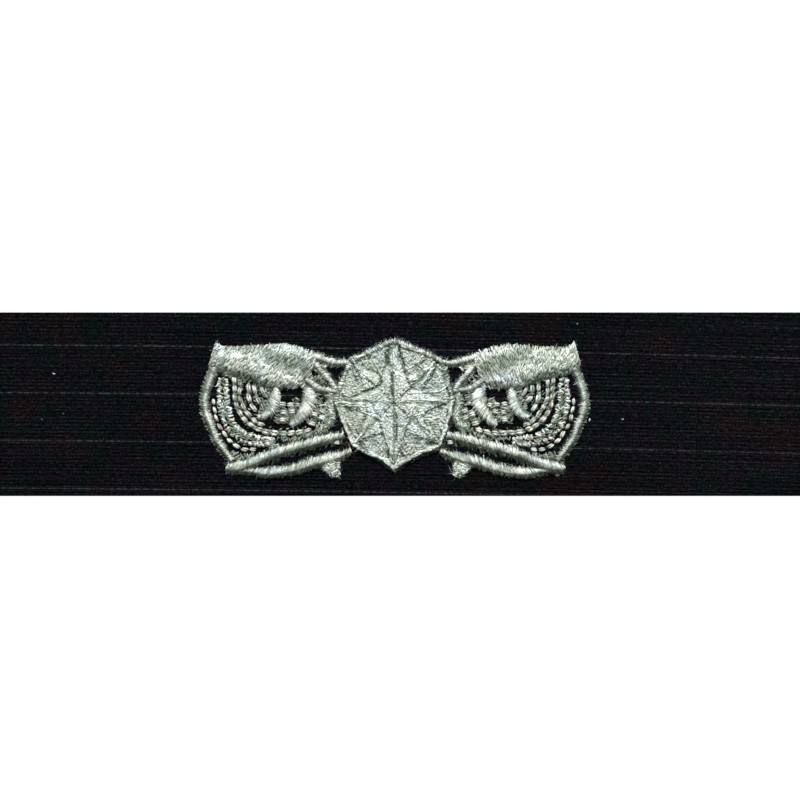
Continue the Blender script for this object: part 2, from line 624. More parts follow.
@dataclass(frozen=True)
class Thread:
    """The thread on the machine: its size, and how much its stitches vary."""

    half_width: float = 0.12  # Half the width of the thread lying flat
    half_height: float = 0.11  # Half its height
    tone: float = 1.0  # Middle brightness of a stitch
    tone_spread: float = 0.26  # How far the brightness varies from stitch to stitch
    warm: float = 0.2  # Share of the stitches whose colour is warm
    sides: int = 4  # Points in a ring round the thread, an even number
    taper: float = 0.45  # How far a stitch narrows at its ends
    size_spread: float = 0.2  # How far the thickness varies from stitch to stitch

    def mesh(self, line: Array, rng: Dice, scale: float | Array = 1.0, fade: float | Array = 1.0) -> MeshPart:
        """Carries an oval ring along each stitch.

        A ring's point at angle a is the middle + side * half_width * cos(a) + up * half_height * sin(a),
        where side is level and square to the thread. Both halves shrink towards the ends of the stitch by
        1 - taper * |s|^2.5, with s from -1 at one end to 1 at the other.

        Args:
            line: Middle lines of shape (stitches, stations, 3).
            rng: Random numbers for the stitches' tones.
            scale: Thickness of the stitches, as a multiple of the thread's.
            fade: Brightness at each stitch's stations, as a multiple of the thread's.

        Returns:
            The stitches as closed tubes.
        """
        count, stations, _ = line.shape
        tangent = unit(np.gradient(line, axis=1))
        side = unit(np.cross(tangent, WORLD_UP))
        up = np.cross(side, tangent)
        angle = 2 * np.pi * np.arange(self.sides) / self.sides
        narrowing = 1 - self.taper * np.abs(np.linspace(-1, 1, stations)) ** TAPER_POWER
        size = rng.uniform(1 - self.size_spread, 1 + self.size_spread, count) * scale
        ring = side[:, :, None] * (np.cos(angle) * self.half_width)[:, None]
        ring = ring + up[:, :, None] * (np.sin(angle) * self.half_height)[:, None]
        points = line[:, :, None] + ring * (size[:, None] * narrowing)[..., None, None]
        first = np.arange(count)[:, None, None] * stations * self.sides
        tone = np.clip(rng.normal(self.tone, self.tone_spread, count), *TONE_LIMITS)
        warm = (rng.random(count) < self.warm) * rng.uniform(*WARM_RANGE, count)
        numbers = {
            "along": way_along(line)[:, :, None],
            "across": np.cos(angle),
            "tone": (tone[:, None] * fade)[..., None],
            "warm": warm[:, None, None],
        }
        return MeshPart(
            points.reshape(-1, 3),
            (closed_faces(stations, self.sides, 1) + first).reshape(-1, 4),
            {name: np.broadcast_to(values, points.shape[:3]).ravel() for name, values in numbers.items()},
        )


@dataclass(frozen=True)
class Satin:
    """Threads laid side by side across a pad, from its near edge to its far one.

    The near edge is the left one where hand is -1 and the right one where it is 1. So the far edge is a bar's
    lower one, or a cord's outer one.
    """

    thread: Thread = Thread()
    pitch: float = 0.18  # Distance from thread to thread along the pad
    jitter: float = 0.22  # How far a thread usually lies out of its place, as a share of the pitch
    slant: float = 0.7  # How far a stitch runs along the pad while it crosses it
    slant_range: Span = (0.55, 1.45)  # Least and greatest multiple of that
    ragged: float = 0.18  # How unevenly the stitches end
    start: float = 0.0  # Share of the way across at which they begin
    end: float = 1.0  # Share of the way across at which they end
    sink: float = 0.6  # How low they lie, in half heights of the thread
    fringe: float = 0.0  # How far a looser layer under them reaches over the cloth beyond the far edge
    fringe_start: float = 0.6  # Share of the way across at which that layer begins
    fringe_range: Span = (0.3, 1.0)  # Least and greatest share of its reach
    peak: float = 0.35  # Share of the way across at which the stitches are brightest
    near_shade: float = 0.0  # How much darker they are at the near edge
    shade: float = 0.0  # How much darker they are at the far edge
    fall: float = 0.35  # Share of the way across over which they get so dark
    # Length of a clump of stitches that begin a little further in or out and are duller or brighter
    clump: float = 0.55
    clump_reach: float = 0.11  # How far they begin further in or out, usually
    clump_light: float = 0.24  # How much duller or brighter they are, usually
    least_width: float = 0.2  # Width that the pad counts as having where it is narrower

    def lay(
        self, patch: DomedPatch, hand: int, rng: Dice, ends: tuple[Array, Array], tone: Array
    ) -> MeshPart:
        """Lays one layer of stitches.

        Stitch i crosses at share u = (i + 1/2) / count, moved by the slant in step with its way across, and
        its stations are spaced as the cosine of a half turn, so that they crowd at the steep edges. At share
        far of the way across its tone is multiplied by 1 - near_shade * (1 - far / peak) and by
        1 - shade * (far - peak) / fall, where each fraction in brackets is held between 0 and 1.

        Args:
            patch: The pad's surface.
            hand: -1 or 1, which sets the near edge and the sense of the slant.
            rng: Random numbers.
            ends: Shares of the way across at which each stitch begins and ends.
            tone: Brightness of each stitch, as a multiple of the thread's.

        Returns:
            The stitches.
        """
        low, high = (share[:, None] for share in ends)
        count = len(low)
        u = (np.arange(count) + 0.5) / count + rng.normal(0, self.jitter * self.pitch, count) / patch.length
        t = (1 - np.cos(np.linspace(0, np.pi, SATIN_STATIONS))) / 2
        far = low + (high - low) * t
        slant = self.slant * rng.uniform(*self.slant_range, (count, 1))
        line = patch.at(u[:, None] - slant * (t - 0.5) / patch.length, far if hand < 0 else 1 - far)
        line[..., 2] += (rng.uniform(*SINK_RANGE, (count, 1)) - self.sink) * self.thread.half_height
        line[:, [0, -1], 2] -= PLUNGE
        fade = tone[:, None] * (1 - self.near_shade * np.clip(1 - far / self.peak, 0.0, 1.0))
        fade = fade * (1 - self.shade * np.clip((far - self.peak) / self.fall, 0.0, 1.0))
        return self.thread.mesh(line, rng, fade=fade)

    def sew(self, patch: DomedPatch, hand: int, rng: Dice) -> list[MeshPart]:
        """Lays the stitches, over the looser layer where there is a fringe.

        Args:
            patch: The pad's surface.
            hand: -1 or 1, which sets the near edge and the sense of the slant.
            rng: Random numbers.

        Returns:
            The stitches.
        """
        count = max(3, round(patch.length / self.pitch))
        width = np.maximum(patch.width((np.arange(count) + 0.5) / count), self.least_width)
        spill = np.abs(rng.normal(0, self.ragged, (2, count))) / width
        knots = max(2, round(patch.length / self.clump))
        clumps = np.interp(np.linspace(0, 1, count), np.linspace(0, 1, knots), rng.normal(0, 1, knots))
        reach = self.clump_reach * clumps / width
        ends = self.start - spill[0] - reach, self.end + spill[1] + reach
        parts = [self.lay(patch, hand, rng, ends, 1 + self.clump_light * clumps)]
        if self.fringe:
            reach = self.fringe * rng.uniform(*self.fringe_range, count) / width
            ends = np.full(count, self.fringe_start), self.end + reach
            parts.append(self.lay(patch, hand, rng, ends, np.full(count, FRINGE_TONE / (1 - self.shade))))
        return parts


@dataclass(frozen=True)
class Fill:
    """Short stitches scattered over a broad pad, in layers that cross one another a little."""

    thread: Thread = Thread(0.14, 0.11, tone=1.05, tone_spread=0.3, warm=0.15, taper=0.7)
    length: float = 1.1  # Length of a stitch
    length_range: Span = (0.6, 1.25)  # Least and greatest multiple of that
    row_step: float = 0.8  # Distance from stitch to stitch in a row, as a share of the length
    spacing: float = 0.25  # Distance between neighbouring stitches
    lean: float = 25.0  # Angle of the stitches from straight across the pad where it starts, in degrees
    lean_end: float = 25.0  # The same angle where the pad ends
    spread: float = 13.0  # How far the angle varies, in degrees
    layers: int = 2  # Number of layers
    layer_step: float = 0.08  # Height of one layer over the next
    margin: float = 0.0  # Distance that a stitch's middle keeps from each edge
    least_room: float = 0.05  # Half of the width that the pad counts as having where it is narrower
    depth: float = 0.16  # How far the stitches lie too low at most
    proud: float = 0.03  # How far they lie too high at most
    dip: float = 0.16  # How much lower a stitch's ends are than its middle
    # How much darker the stitches are at the far edge, which is the one that Satin means too
    shade: float = 0.0
    shade_from: float = 0.55  # Share of the way across at which they begin to darken
    shade_over: float = 0.4  # Share of the way over which they get so dark

    def sew(self, patch: DomedPatch, hand: int, rng: Dice) -> list[MeshPart]:
        """Scatters the stitches.

        Their middles lie on a jittered lattice in distances along and across the pad, turned by the lean.
        A stitch is a straight step in those distances, and lower by dip * s^4 at share s of the way from its
        middle to an end.

        Args:
            patch: The pad's surface.
            hand: 1 or -1, the sense of the lean.
            rng: Random numbers.

        Returns:
            The stitches.
        """
        reach = patch.length + float(patch.width(patch.share).max())
        lattice = math.radians((self.lean + self.lean_end) / 2) * hand
        t = np.linspace(-0.5, 0.5, FILL_STATIONS)
        lines, fades = [], []
        for layer in range(self.layers):
            run = np.arange(-reach / 2, reach / 2, self.length * self.row_step)
            rows = np.arange(-reach / 2, reach / 2, self.spacing)
            a, b = np.meshgrid(run, rows, indexing="ij")
            a = (a + rng.uniform(-0.5, 0.5, a.shape) * self.length).ravel()
            b = (b + rng.uniform(-0.5, 0.5, b.shape) * self.spacing).ravel()
            along = a * math.sin(lattice) + b * math.cos(lattice)
            across = a * math.cos(lattice) - b * math.sin(lattice)
            u = along / patch.length + 0.5
            room = np.maximum(patch.width(u) / 2 - self.margin, self.least_room)
            keep = (np.abs(across) < room) & (u > 0.0) & (u < 1.0)
            along, across, u = along[keep], across[keep], u[keep]
            lean = hand * (self.lean + (self.lean_end - self.lean) * u)
            turn = np.radians(lean + rng.normal(0, self.spread, len(along)))
            length = self.length * rng.uniform(*self.length_range, len(along))
            u = (along[:, None] + t * (np.sin(turn) * length)[:, None]) / patch.length + 0.5
            width = np.maximum(patch.width(u), 2 * self.least_room)
            v = 0.5 + (across[:, None] + t * (np.cos(turn) * length)[:, None]) / width
            line = patch.at(u, v)
            line[..., 2] += rng.uniform(-self.depth, self.proud, (len(line), 1)) - (2 * t) ** 4 * self.dip
            line[..., 2] -= (self.layers - 1 - layer) * self.layer_step + self.thread.half_height / 2
            lines.append(line)
            far = v if hand < 0 else 1 - v
            fades.append(1 - self.shade * np.clip((far - self.shade_from) / self.shade_over, 0.0, 1.0))
        return [self.thread.mesh(np.concatenate(lines), rng, fade=np.concatenate(fades))]


@dataclass(frozen=True)
class Running:
    """A row of running stitches: short dashes that dive into the cloth at both ends."""

    thread: Thread = Thread(0.2, 0.17, tone=1.1, tone_spread=0.25, warm=0.45, taper=0.6)
    dash: float = 1.4  # Length of a dash with no gap
    dash_range: Span = (0.85, 1.12)  # Least and greatest multiple of its length
    gap: float = 0.1  # Bare cloth between dashes. Below 0 they overlap, as in stem stitch
    # Sideways places of the strands, in half thread widths from the row's middle
    strands: tuple[float, ...] = (-0.85, 0.85)
    meet: float = 0.3  # Share of that distance which they keep at a dash's ends
    part_power: float = 1.2  # Power of the arch by which they part on the way to its middle
    row_width: float = 0.6  # Width of row for which the thread is meant. It is thicker in a wider row
    wander: float = 0.08  # How far a dash usually lies out of its place along the row
    tilt: float = 0.14  # How far it usually turns off the row, as a slope
    lag: float = 0.08  # How far a strand lags, for each half thread width that it lies off the middle
    lag_spread: float = 0.04  # How far that varies
    sway: float = 0.03  # How far a strand usually lies out of its place across the row

    def sew(self, patch: DomedPatch, hand: int, rng: Dice) -> list[MeshPart]:
        """Lays the dashes.

        Dash i starts a whole number of steps along. Its height follows arch_over, and its strands part from
        the share meet of their distance at its ends to all of it in the middle, by arch^1.2.

        Args:
            patch: The row's surface.
            hand: 1 or -1, the sense in which the second strand lags.
            rng: Random numbers.

        Returns:
            The stitches.
        """
        count = max(1, round(patch.length / (self.dash + self.gap)))
        step = patch.length / count
        t = np.linspace(0, 1, DASH_STATIONS)
        arch = arch_over(t)
        middle = (np.arange(count) + 0.5) * step + rng.normal(0, self.wander, count)
        run = (t - 0.5) * ((step - self.gap) * rng.uniform(*self.dash_range, count))[:, None]
        tilt = rng.normal(0, self.tilt, (count, 1)) * run
        size = patch.width(middle / patch.length) / self.row_width
        half = self.thread.half_width * (self.meet + (1 - self.meet) * arch**self.part_power) * size[:, None]
        lines = []
        for strand in self.strands:
            lag = hand * strand * self.lag + rng.normal(0, self.lag_spread, count)
            u = ((middle + lag)[:, None] + run) / patch.length
            v = 0.5 + (strand * half + tilt + rng.normal(0, self.sway, (count, 1))) / patch.width(u)
            line = patch.at(u, v)
            base = patch.at(u, 0.0)[..., 2]
            rise = patch.at(u, 0.5)[..., 2] - base - self.thread.half_height
            line[..., 2] = base + rise * arch - PLUNGE * (1 - arch)
            lines.append(line)
        return [self.thread.mesh(np.concatenate(lines), rng, np.tile(size, len(self.strands)))]


@dataclass(frozen=True)
class Zigzag:
    """Lanes of short curved stitches that turn back and forth."""

    thread: Thread = Thread(0.21, 0.16, tone=1.35, tone_spread=0.35, warm=0.12, taper=0.5)
    lanes: tuple[float, ...] = (0.16, 0.86)  # Middle of each lane as a share of the way across
    wander: float = 0.06  # How far a stitch usually lies off it, as such a share
    swing: float = 0.27  # Half the width of a lane as a share of the pad's width
    swing_range: Span = (0.45, 1.25)  # Least and greatest multiple of that
    pitch: float = 0.55  # Distance along the pad from one stitch to the next
    jitter: float = 0.22  # How far a stitch usually starts out of its place, as a share of the pitch
    run_range: Span = (0.9, 1.4)  # Least and greatest distance that it runs along the pad, in pitches
    curl: float = 0.25  # How far a stitch bows out of its straight line
    curl_spread: float = 0.6  # How far that varies, as a share of it
    sink: float = 0.5  # How low the stitches lie, in half heights of the thread
    end_height: float = 0.5  # Share of the pad's height that a stitch's ends keep

    def sew(self, patch: DomedPatch, hand: int, rng: Dice) -> list[MeshPart]:
        """Lays the stitches.

        Stitch i of a lane runs from one side of the lane to the other while it moves about a pitch along,
        and the next one comes back. It bows along the pad by curl * sin(2 pi t). Its ends keep half of the
        pad's height and go down by the plunge.

        Args:
            patch: The band's surface.
            hand: 1 or -1, the side on which the first stitch starts.
            rng: Random numbers.

        Returns:
            The stitches.
        """
        count = max(2, round(patch.length / self.pitch))
        t = np.linspace(0, 1, DASH_STATIONS)
        arch = arch_over(t)
        lines = []
        for number, lane in enumerate(self.lanes):
            way = np.where((np.arange(count) + number) % 2 == 0, 1.0, -1.0) * hand
            start = (np.arange(count) + rng.normal(0, self.jitter, count)) / count
            run = rng.uniform(*self.run_range, count) / count
            curl = self.curl * rng.normal(1.0, self.curl_spread, (count, 1)) / patch.length
            u = start[:, None] + t * run[:, None] + curl * np.sin(2 * np.pi * t)
            swing = self.swing * rng.uniform(*self.swing_range, count)
            middle = lane + rng.normal(0, self.wander, (count, 1))
            line = patch.at(u, middle + (way * swing)[:, None] * (2 * t - 1))
            base = patch.at(u, 0.0)[..., 2]
            keep = self.end_height + (1 - self.end_height) * arch
            line[..., 2] = base + (line[..., 2] - base) * keep - PLUNGE * (1 - arch)
            line[..., 2] += (rng.uniform(*SINK_RANGE, (count, 1)) - self.sink) * self.thread.half_height
            lines.append(line)
        return [self.thread.mesh(np.concatenate(lines), rng)]


Stitching = Satin | Fill | Running | Zigzag


class Value:
    """A number that varies over a surface: a shader's socket, on which Python's operators build."""

    def __init__(self, shader: "Shader", socket: Socket) -> None:
        """Wraps a socket of a shader."""
        self.shader = shader
        self.socket = socket

    def __add__(self, other: "Value | float") -> "Value":
        """Gives self + other."""
        return self.shader.math("ADD", self, other)

    def __radd__(self, other: float) -> "Value":
        """Gives other + self."""
        return self.shader.math("ADD", other, self)

    def __sub__(self, other: "Value | float") -> "Value":
        """Gives self - other."""
        return self.shader.math("SUBTRACT", self, other)

    def __rsub__(self, other: float) -> "Value":
        """Gives other - self."""
        return self.shader.math("SUBTRACT", other, self)

    def __mul__(self, other: "Value | float") -> "Value":
        """Gives self * other."""
        return self.shader.math("MULTIPLY", self, other)

    def __rmul__(self, other: float) -> "Value":
        """Gives other * self."""
        return self.shader.math("MULTIPLY", other, self)

    def __pow__(self, other: float) -> "Value":
        """Gives self to the power of other."""
        return self.shader.math("POWER", self, other)

    def __rpow__(self, other: float) -> "Value":
        """Gives other to the power of self."""
        return self.shader.math("POWER", other, self)


class Shader:
    """The nodes of one finish, on a Principled surface."""

    def __init__(self, name: str) -> None:
        """Starts an empty material.

        Args:
            name: Name of the material.
        """
        self.material = bpy.data.materials.new(name)
        self.material.use_nodes = True
        self.material.node_tree.nodes.clear()

    def node(self, kind: str, settings: Settings, inputs: Settings) -> bpy.types.Node:
        """Adds one node.

        Args:
            kind: Blender's name for the node's type.
            settings: The node's own settings, which are set first.
            inputs: What goes into its sockets: a Value, an output socket, or a constant.

        Returns:
            The node.
        """
        tree = self.material.node_tree
        node = tree.nodes.new(kind)
        for key, setting in settings.items():
            setattr(node, key, setting)
        for key, given in inputs.items():
            socket = next(s for s in node.inputs if key in (s.identifier, s.name))
            if isinstance(given, (Value, Socket)):
                tree.links.new(given.socket if isinstance(given, Value) else given, socket)
            else:
                socket.default_value = given
        return node

    def value(self, kind: str, settings: Settings, inputs: Settings, output: int | str = 0) -> Value:
        """Adds one node and gives one of its outputs as a Value."""
        return Value(self, self.node(kind, settings, inputs).outputs[output])

    def math(self, operation: str, *values: Value | float) -> Value:
        """Adds a Math node that works on one, two or three values."""
        inputs = dict(zip(("Value", "Value_001", "Value_002"), values))
        return self.value("ShaderNodeMath", {"operation": operation}, inputs)

    def step(self, value: Value, low: float, high: float) -> Value:
        """Gives 0 below low, 1 above high and a smooth rise between them; low may be above high."""
        inputs = {"Value": value, "From Min": low, "From Max": high}
        return self.value("ShaderNodeMapRange", {"interpolation_type": "SMOOTHSTEP"}, inputs)

    def attribute(self, name: str) -> Value:
        """Reads one of the mesh's own numbers."""
        return self.value("ShaderNodeAttribute", {"attribute_name": name}, {}, "Fac")

    def place(self) -> tuple[Value, ...]:
        """Finds where on the object a point lies.

        Returns:
            Its x, y and z in millimetres.
        """
        coordinates = self.node("ShaderNodeTexCoord", {}, {}).outputs["Object"]
        parts = self.node("ShaderNodeSeparateXYZ", {}, {"Vector": coordinates}).outputs
        return tuple(Value(self, part) * (1 / MM) for part in parts)

    def noise(self, x: Value, y: Value, z: Value | float, detail: float = 2.0) -> Value:
        """Gives smooth noise from 0 to 1, with one lump to each unit of x, y and z."""
        point = self.node("ShaderNodeCombineXYZ", {}, {"X": x, "Y": y, "Z": z}).outputs[0]
        return self.value("ShaderNodeTexNoise", {}, {"Vector": point, "Scale": 1.0, "Detail": detail}, "Fac")

    def mix(self, share: Value | float, first: object, second: object, blend: str = "MIX") -> Socket:
        """Mixes two colours.

        Args:
            share: How much of the second shows.
            first: A colour or a socket.
            second: A colour, a socket, or a Value that stands for a grey.
            blend: Blender's name for the way of mixing.

        Returns:
            The mixed colour.
        """
        settings = {"data_type": "RGBA", "blend_type": blend}
        inputs = {"Factor_Float": share, "A_Color": first, "B_Color": second}
        node = self.node("ShaderNodeMix", settings, inputs)
        return next(s for s in node.outputs if s.identifier == "Result_Color")

    def bump(self, height: Value, strength: float, depth_mm: float) -> Socket:
        """Turns a height into a normal, with a share of its effect and the depth of a height of 1."""
        inputs = {"Strength": strength, "Distance": depth_mm * MM, "Height": height}
        return self.node("ShaderNodeBump", {}, inputs).outputs[0]

    def surface(self, inputs: Settings) -> Material:
        """Finishes the material with a Principled surface.

        Args:
            inputs: What goes into its sockets.

        Returns:
            The material.
        """
        shader = self.node("ShaderNodeBsdfPrincipled", {}, inputs)
        self.node("ShaderNodeOutputMaterial", {}, {"Surface": shader.outputs[0]})
        return self.material


@dataclass(frozen=True)
class ThreadFinish:
    """Two-ply embroidery thread with a soft gloss."""

    name: str  # Name of the material
    cool: Colour  # Colour of most stitches, a pale silver green
    blue: Colour = (0.405, 0.472, 0.472, 1.0)  # Colour of the stitches in patches that look bluer
    deep: Colour = (0.32, 0.43, 0.30, 1.0)  # Colour of the patches that look greener
    warm: Colour = (0.54, 0.51, 0.46, 1.0)  # Colour of the stitches that catch warm light
    roughness: float = 0.4  # Middle roughness
    twist: float = 0.85  # Length of one turn of the twist
    brightest: float = 2.68  # Brightness that the brightest stitches come near, as a multiple of the colour
    knee: float = 2.0  # Brightness at which that begins to tell

    def material(self) -> Material:
        """Builds the material.

        The plies are sine stripes that climb round the thread, and fibres are noise drawn out along it. A
        broad noise over the badge mottles the brightness and a finer one grains it. What is dim is greener
        and less glossy. The brightness b ends as brightest * (1 - e^(-b / knee)).

        Returns:
            The material.
        """
        shader = Shader(self.name)
        along = shader.attribute("along")
        across = shader.attribute("across")
        tone = shader.attribute("tone")
        ply = shader.math("SINE", along * (2 * math.pi / self.twist) + across * 2.2)
        fibre = shader.noise(along * 2.6, across * 3.0, tone * 97.0)
        x, y, _ = shader.place()
        mottle = shader.noise(x * 0.7, y * 0.7, 0.0)
        blue = shader.step(shader.noise(x * 0.16, y * 0.16, 40.0), 0.48, 0.64)
        grain = shader.noise(x * 2.2, y * 2.2, 17.0)
        light = tone * (0.7 + 0.06 * ply + 0.6 * fibre) * (2.2 * mottle - 0.1) * (0.68 + 0.64 * grain)
        dim = shader.step(light, 1.15, 0.3)
        tinted = shader.mix(dim, shader.mix(blue, self.cool, self.blue), self.deep)
        base = shader.mix(shader.attribute("warm"), tinted, self.warm)
        held = self.brightest * (1 - math.e ** (light * (-1 / self.knee)))
        return shader.surface(
            {
                "Base Color": shader.mix(1.0, base, held, "MULTIPLY"),
                "Roughness": self.roughness + 0.2 * (fibre - 0.5) + 0.4 * dim,
                "Normal": shader.bump(0.5 * ply + fibre, 0.4, 0.03),
                "Specular IOR Level": 0.42,
                "Sheen Weight": 0.1,
            }
        )


@dataclass(frozen=True)
class ClothFinish:
    """Black ribbed cloth with pulled threads that run along the ribs."""

    name: str = "ribbed_black_cloth"  # Name of the material
    violet: Colour = (0.0041, 0.0035, 0.0054, 1.0)  # Colour of most of the black
    teal: Colour = (0.0028, 0.0041, 0.0045, 1.0)  # Colour of some patches of it
    rust: Colour = (0.0052, 0.0037, 0.0043, 1.0)  # Colour of other patches
    pulled: Colour = (0.055, 0.055, 0.060, 1.0)  # Colour of a pulled thread
    # Fall of the ribs at the middle, in millimetres for each millimetre along the strip
    slope: float = 0.0169
    bend: float = 0.00008  # How that fall grows along the strip, for each millimetre
    rib: float = 0.63  # Distance from rib to rib
    pull_from: float = 1.2  # Height of one pulled thread, at the middle of the strip
    pull_step: float = 8.23  # Distance from one pulled thread to the next

    def material(self) -> Material:
        """Builds the material.

        Ribs are a sine of the level, y + x * (slope + bend * x). Yarn is noise drawn out along the ribs, and
        crossing yarns are noise drawn out across them; together they are the power of e that scales the
        colour. A pulled thread is a line at each whole step of the level, broken by noise.

        Returns:
            The material.
        """
        shader = Shader(self.name)
        x, y, _ = shader.place()
        level = y + x * (self.slope + self.bend * x)
        rib = shader.math("SINE", level * (2 * math.pi / self.rib))
        yarn = shader.noise(x * 0.9, level * 4.6, 0.0, 3.0)
        crossing = shader.noise(x * 3.6, level * 1.6, 5.0)
        speck = shader.noise(x * 3.0, level * 4.0, 9.0, 1.0)
        course = shader.noise(x * 0.04, level * 3.4, 21.0, 3.0)
        power = 0.4 * rib + 4.0 * yarn + 2.8 * crossing + 3.6 * speck + 2.6 * course
        light = math.e ** (power - 6.5) * (1 + 0.15 * shader.step(x, 20.0, 60.0))
        teal = shader.step(shader.noise(x * 0.18, y * 0.18, 3.0), 0.42, 0.58)
        rust = shader.step(shader.noise(x * 0.1, y * 0.1, 8.0), 0.5, 0.66)
        base = shader.mix(rust, shader.mix(teal, self.violet, self.teal), self.rust)
        phase = shader.math("WRAP", level - self.pull_from + self.pull_step / 2, self.pull_step, 0.0)
        off = shader.math("ABSOLUTE", phase - self.pull_step / 2)
        line = 1 - shader.step(off, 0.03, 0.16)
        dash = shader.step(shader.noise(x * 1.7, level * 0.6, 12.0, 3.0), 0.4, 0.72)
        pull = line * (0.12 + 0.88 * dash)
        colour = shader.mix(pull, shader.mix(1.0, base, light, "MULTIPLY"), self.pulled)
        return shader.surface(
            {
                "Base Color": colour,
                "Roughness": 0.9 + 0.1 * (yarn - 0.5),
                "Normal": shader.bump(yarn + 0.6 * crossing + 0.5 * rib, 0.6, 0.05),
                "Specular IOR Level": 0.0,
            }
        )


@dataclass(frozen=True)
class FloorFinish:
    """Plain pale board, matt, with the faintest mottle."""

    name: str = "pale_board"  # Name of the material
    base: Colour = (0.93, 0.93, 0.93, 1.0)  # Its colour
    glow: float = 0.95  # Strength of the light that comes through it from below, as on a lit table

    def material(self) -> Material:
        """Builds the material: the colour, multiplied by noise of a percent or two.

        Returns:
            The material.
        """
        shader = Shader(self.name)
        x, y, z = shader.place()
        mottle = 0.99 + 0.02 * shader.noise(x * 0.05, y * 0.05, z)
        colour = shader.mix(1.0, self.base, mottle, "MULTIPLY")
        return shader.surface(
            {
                "Base Color": colour,
                "Roughness": 0.9,
                "Specular IOR Level": 0.1,
                "Emission Color": self.base,
                "Emission Strength": self.glow,
            }
        )


@dataclass
class Studio:
    """The camera over the badge, the floor that it lies on and the light on it."""

    lens_mm: float = 120.0  # Focal length of the camera
    sensor_mm: float = 36.0  # Width of its sensor
    key_watts: float = 26.0  # Power of the key light, which stands beyond the badge's top edge
    key_distance: float = 1.2  # Distance of the key light from the badge, in metres
    key_size: float = 0.3  # Side of the key light, in metres
    key_elevation: float = 36.0  # Height of the key light over the floor, in degrees
    sky: float = 0.25  # Brightness of the even light from all round
    floor_half: float = 10000.0  # Half the side of the floor, in millimetres
    floor_drop: float = 0.05  # How far it lies under the strip, in millimetres

    def camera(self) -> None:
        """Sets a camera straight over the badge, so far up that the view is as wide as the photograph."""
        across = PHOTO_SIDE_PX / PX_PER_MM * MM
        data = bpy.data.cameras.new("overhead")
        data.lens = self.lens_mm
        data.sensor_width = self.sensor_mm
        data.clip_start = 0.01
        camera = bpy.data.objects.new("overhead", data)
        middle_y = (AXIS_ROW_PX - PHOTO_SIDE_PX / 2) / PX_PER_MM * MM
        height = across * self.lens_mm / self.sensor_mm + STRIP_TOP * MM
        camera.location = (0.0, middle_y, height)
        bpy.context.scene.collection.objects.link(camera)
        bpy.context.scene.camera = camera

    def floor(self) -> None:
        """Lays a pale board just under the strip."""
        corners = np.array([(-1, -1), (1, -1), (1, 1), (-1, 1)]) * self.floor_half
        part = MeshPart(lifted(corners, -self.floor_drop), np.array([[0, 1, 2, 3]]))
        part.to_object("floor", FloorFinish().material())

    def lights(self) -> None:
        """Hangs one broad key light and fills the room with even light."""
        data = bpy.data.lights.new("key", "AREA")
        data.shape = "SQUARE"
        data.size = self.key_size
        data.energy = self.key_watts
        key = bpy.data.objects.new("key", data)
        tilt = math.radians(self.key_elevation)
        key.location = (0.0, self.key_distance * math.cos(tilt), self.key_distance * math.sin(tilt))
        key.rotation_euler = (tilt - math.pi / 2, 0.0, 0.0)
        bpy.context.scene.collection.objects.link(key)
        world = bpy.data.worlds.new("room")
        bpy.context.scene.world = world
        world.use_nodes = True
        sky = world.node_tree.nodes["Background"].inputs
        sky["Color"].default_value = (1.0, 1.0, 1.0, 1.0)
        sky["Strength"].default_value = self.sky
        bpy.context.scene.view_settings.view_transform = "Standard"


Finishes = dict[Slot, Material]


def add_piece(name: str, part: MeshPart, finishes: Finishes, slot: Slot, *nodes: str) -> bpy.types.Object:
    """Puts a piece on the badge's one body and reports it.

    Args:
        name: Name of the piece.
        part: Its mesh.
        finishes: The materials of the slots.
        slot: The record's material slot that it takes its finish from.
        nodes: The CAD nodes that it stands for.

    Returns:
        The piece.
    """
    piece = part.to_object(name, finishes[slot])
    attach(piece, "root")
    if nodes:
        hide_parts(*nodes)
    LOG.info("%s: %d faces, stands for %s", name, len(part.faces), ", ".join(nodes) or "no node")
    return piece


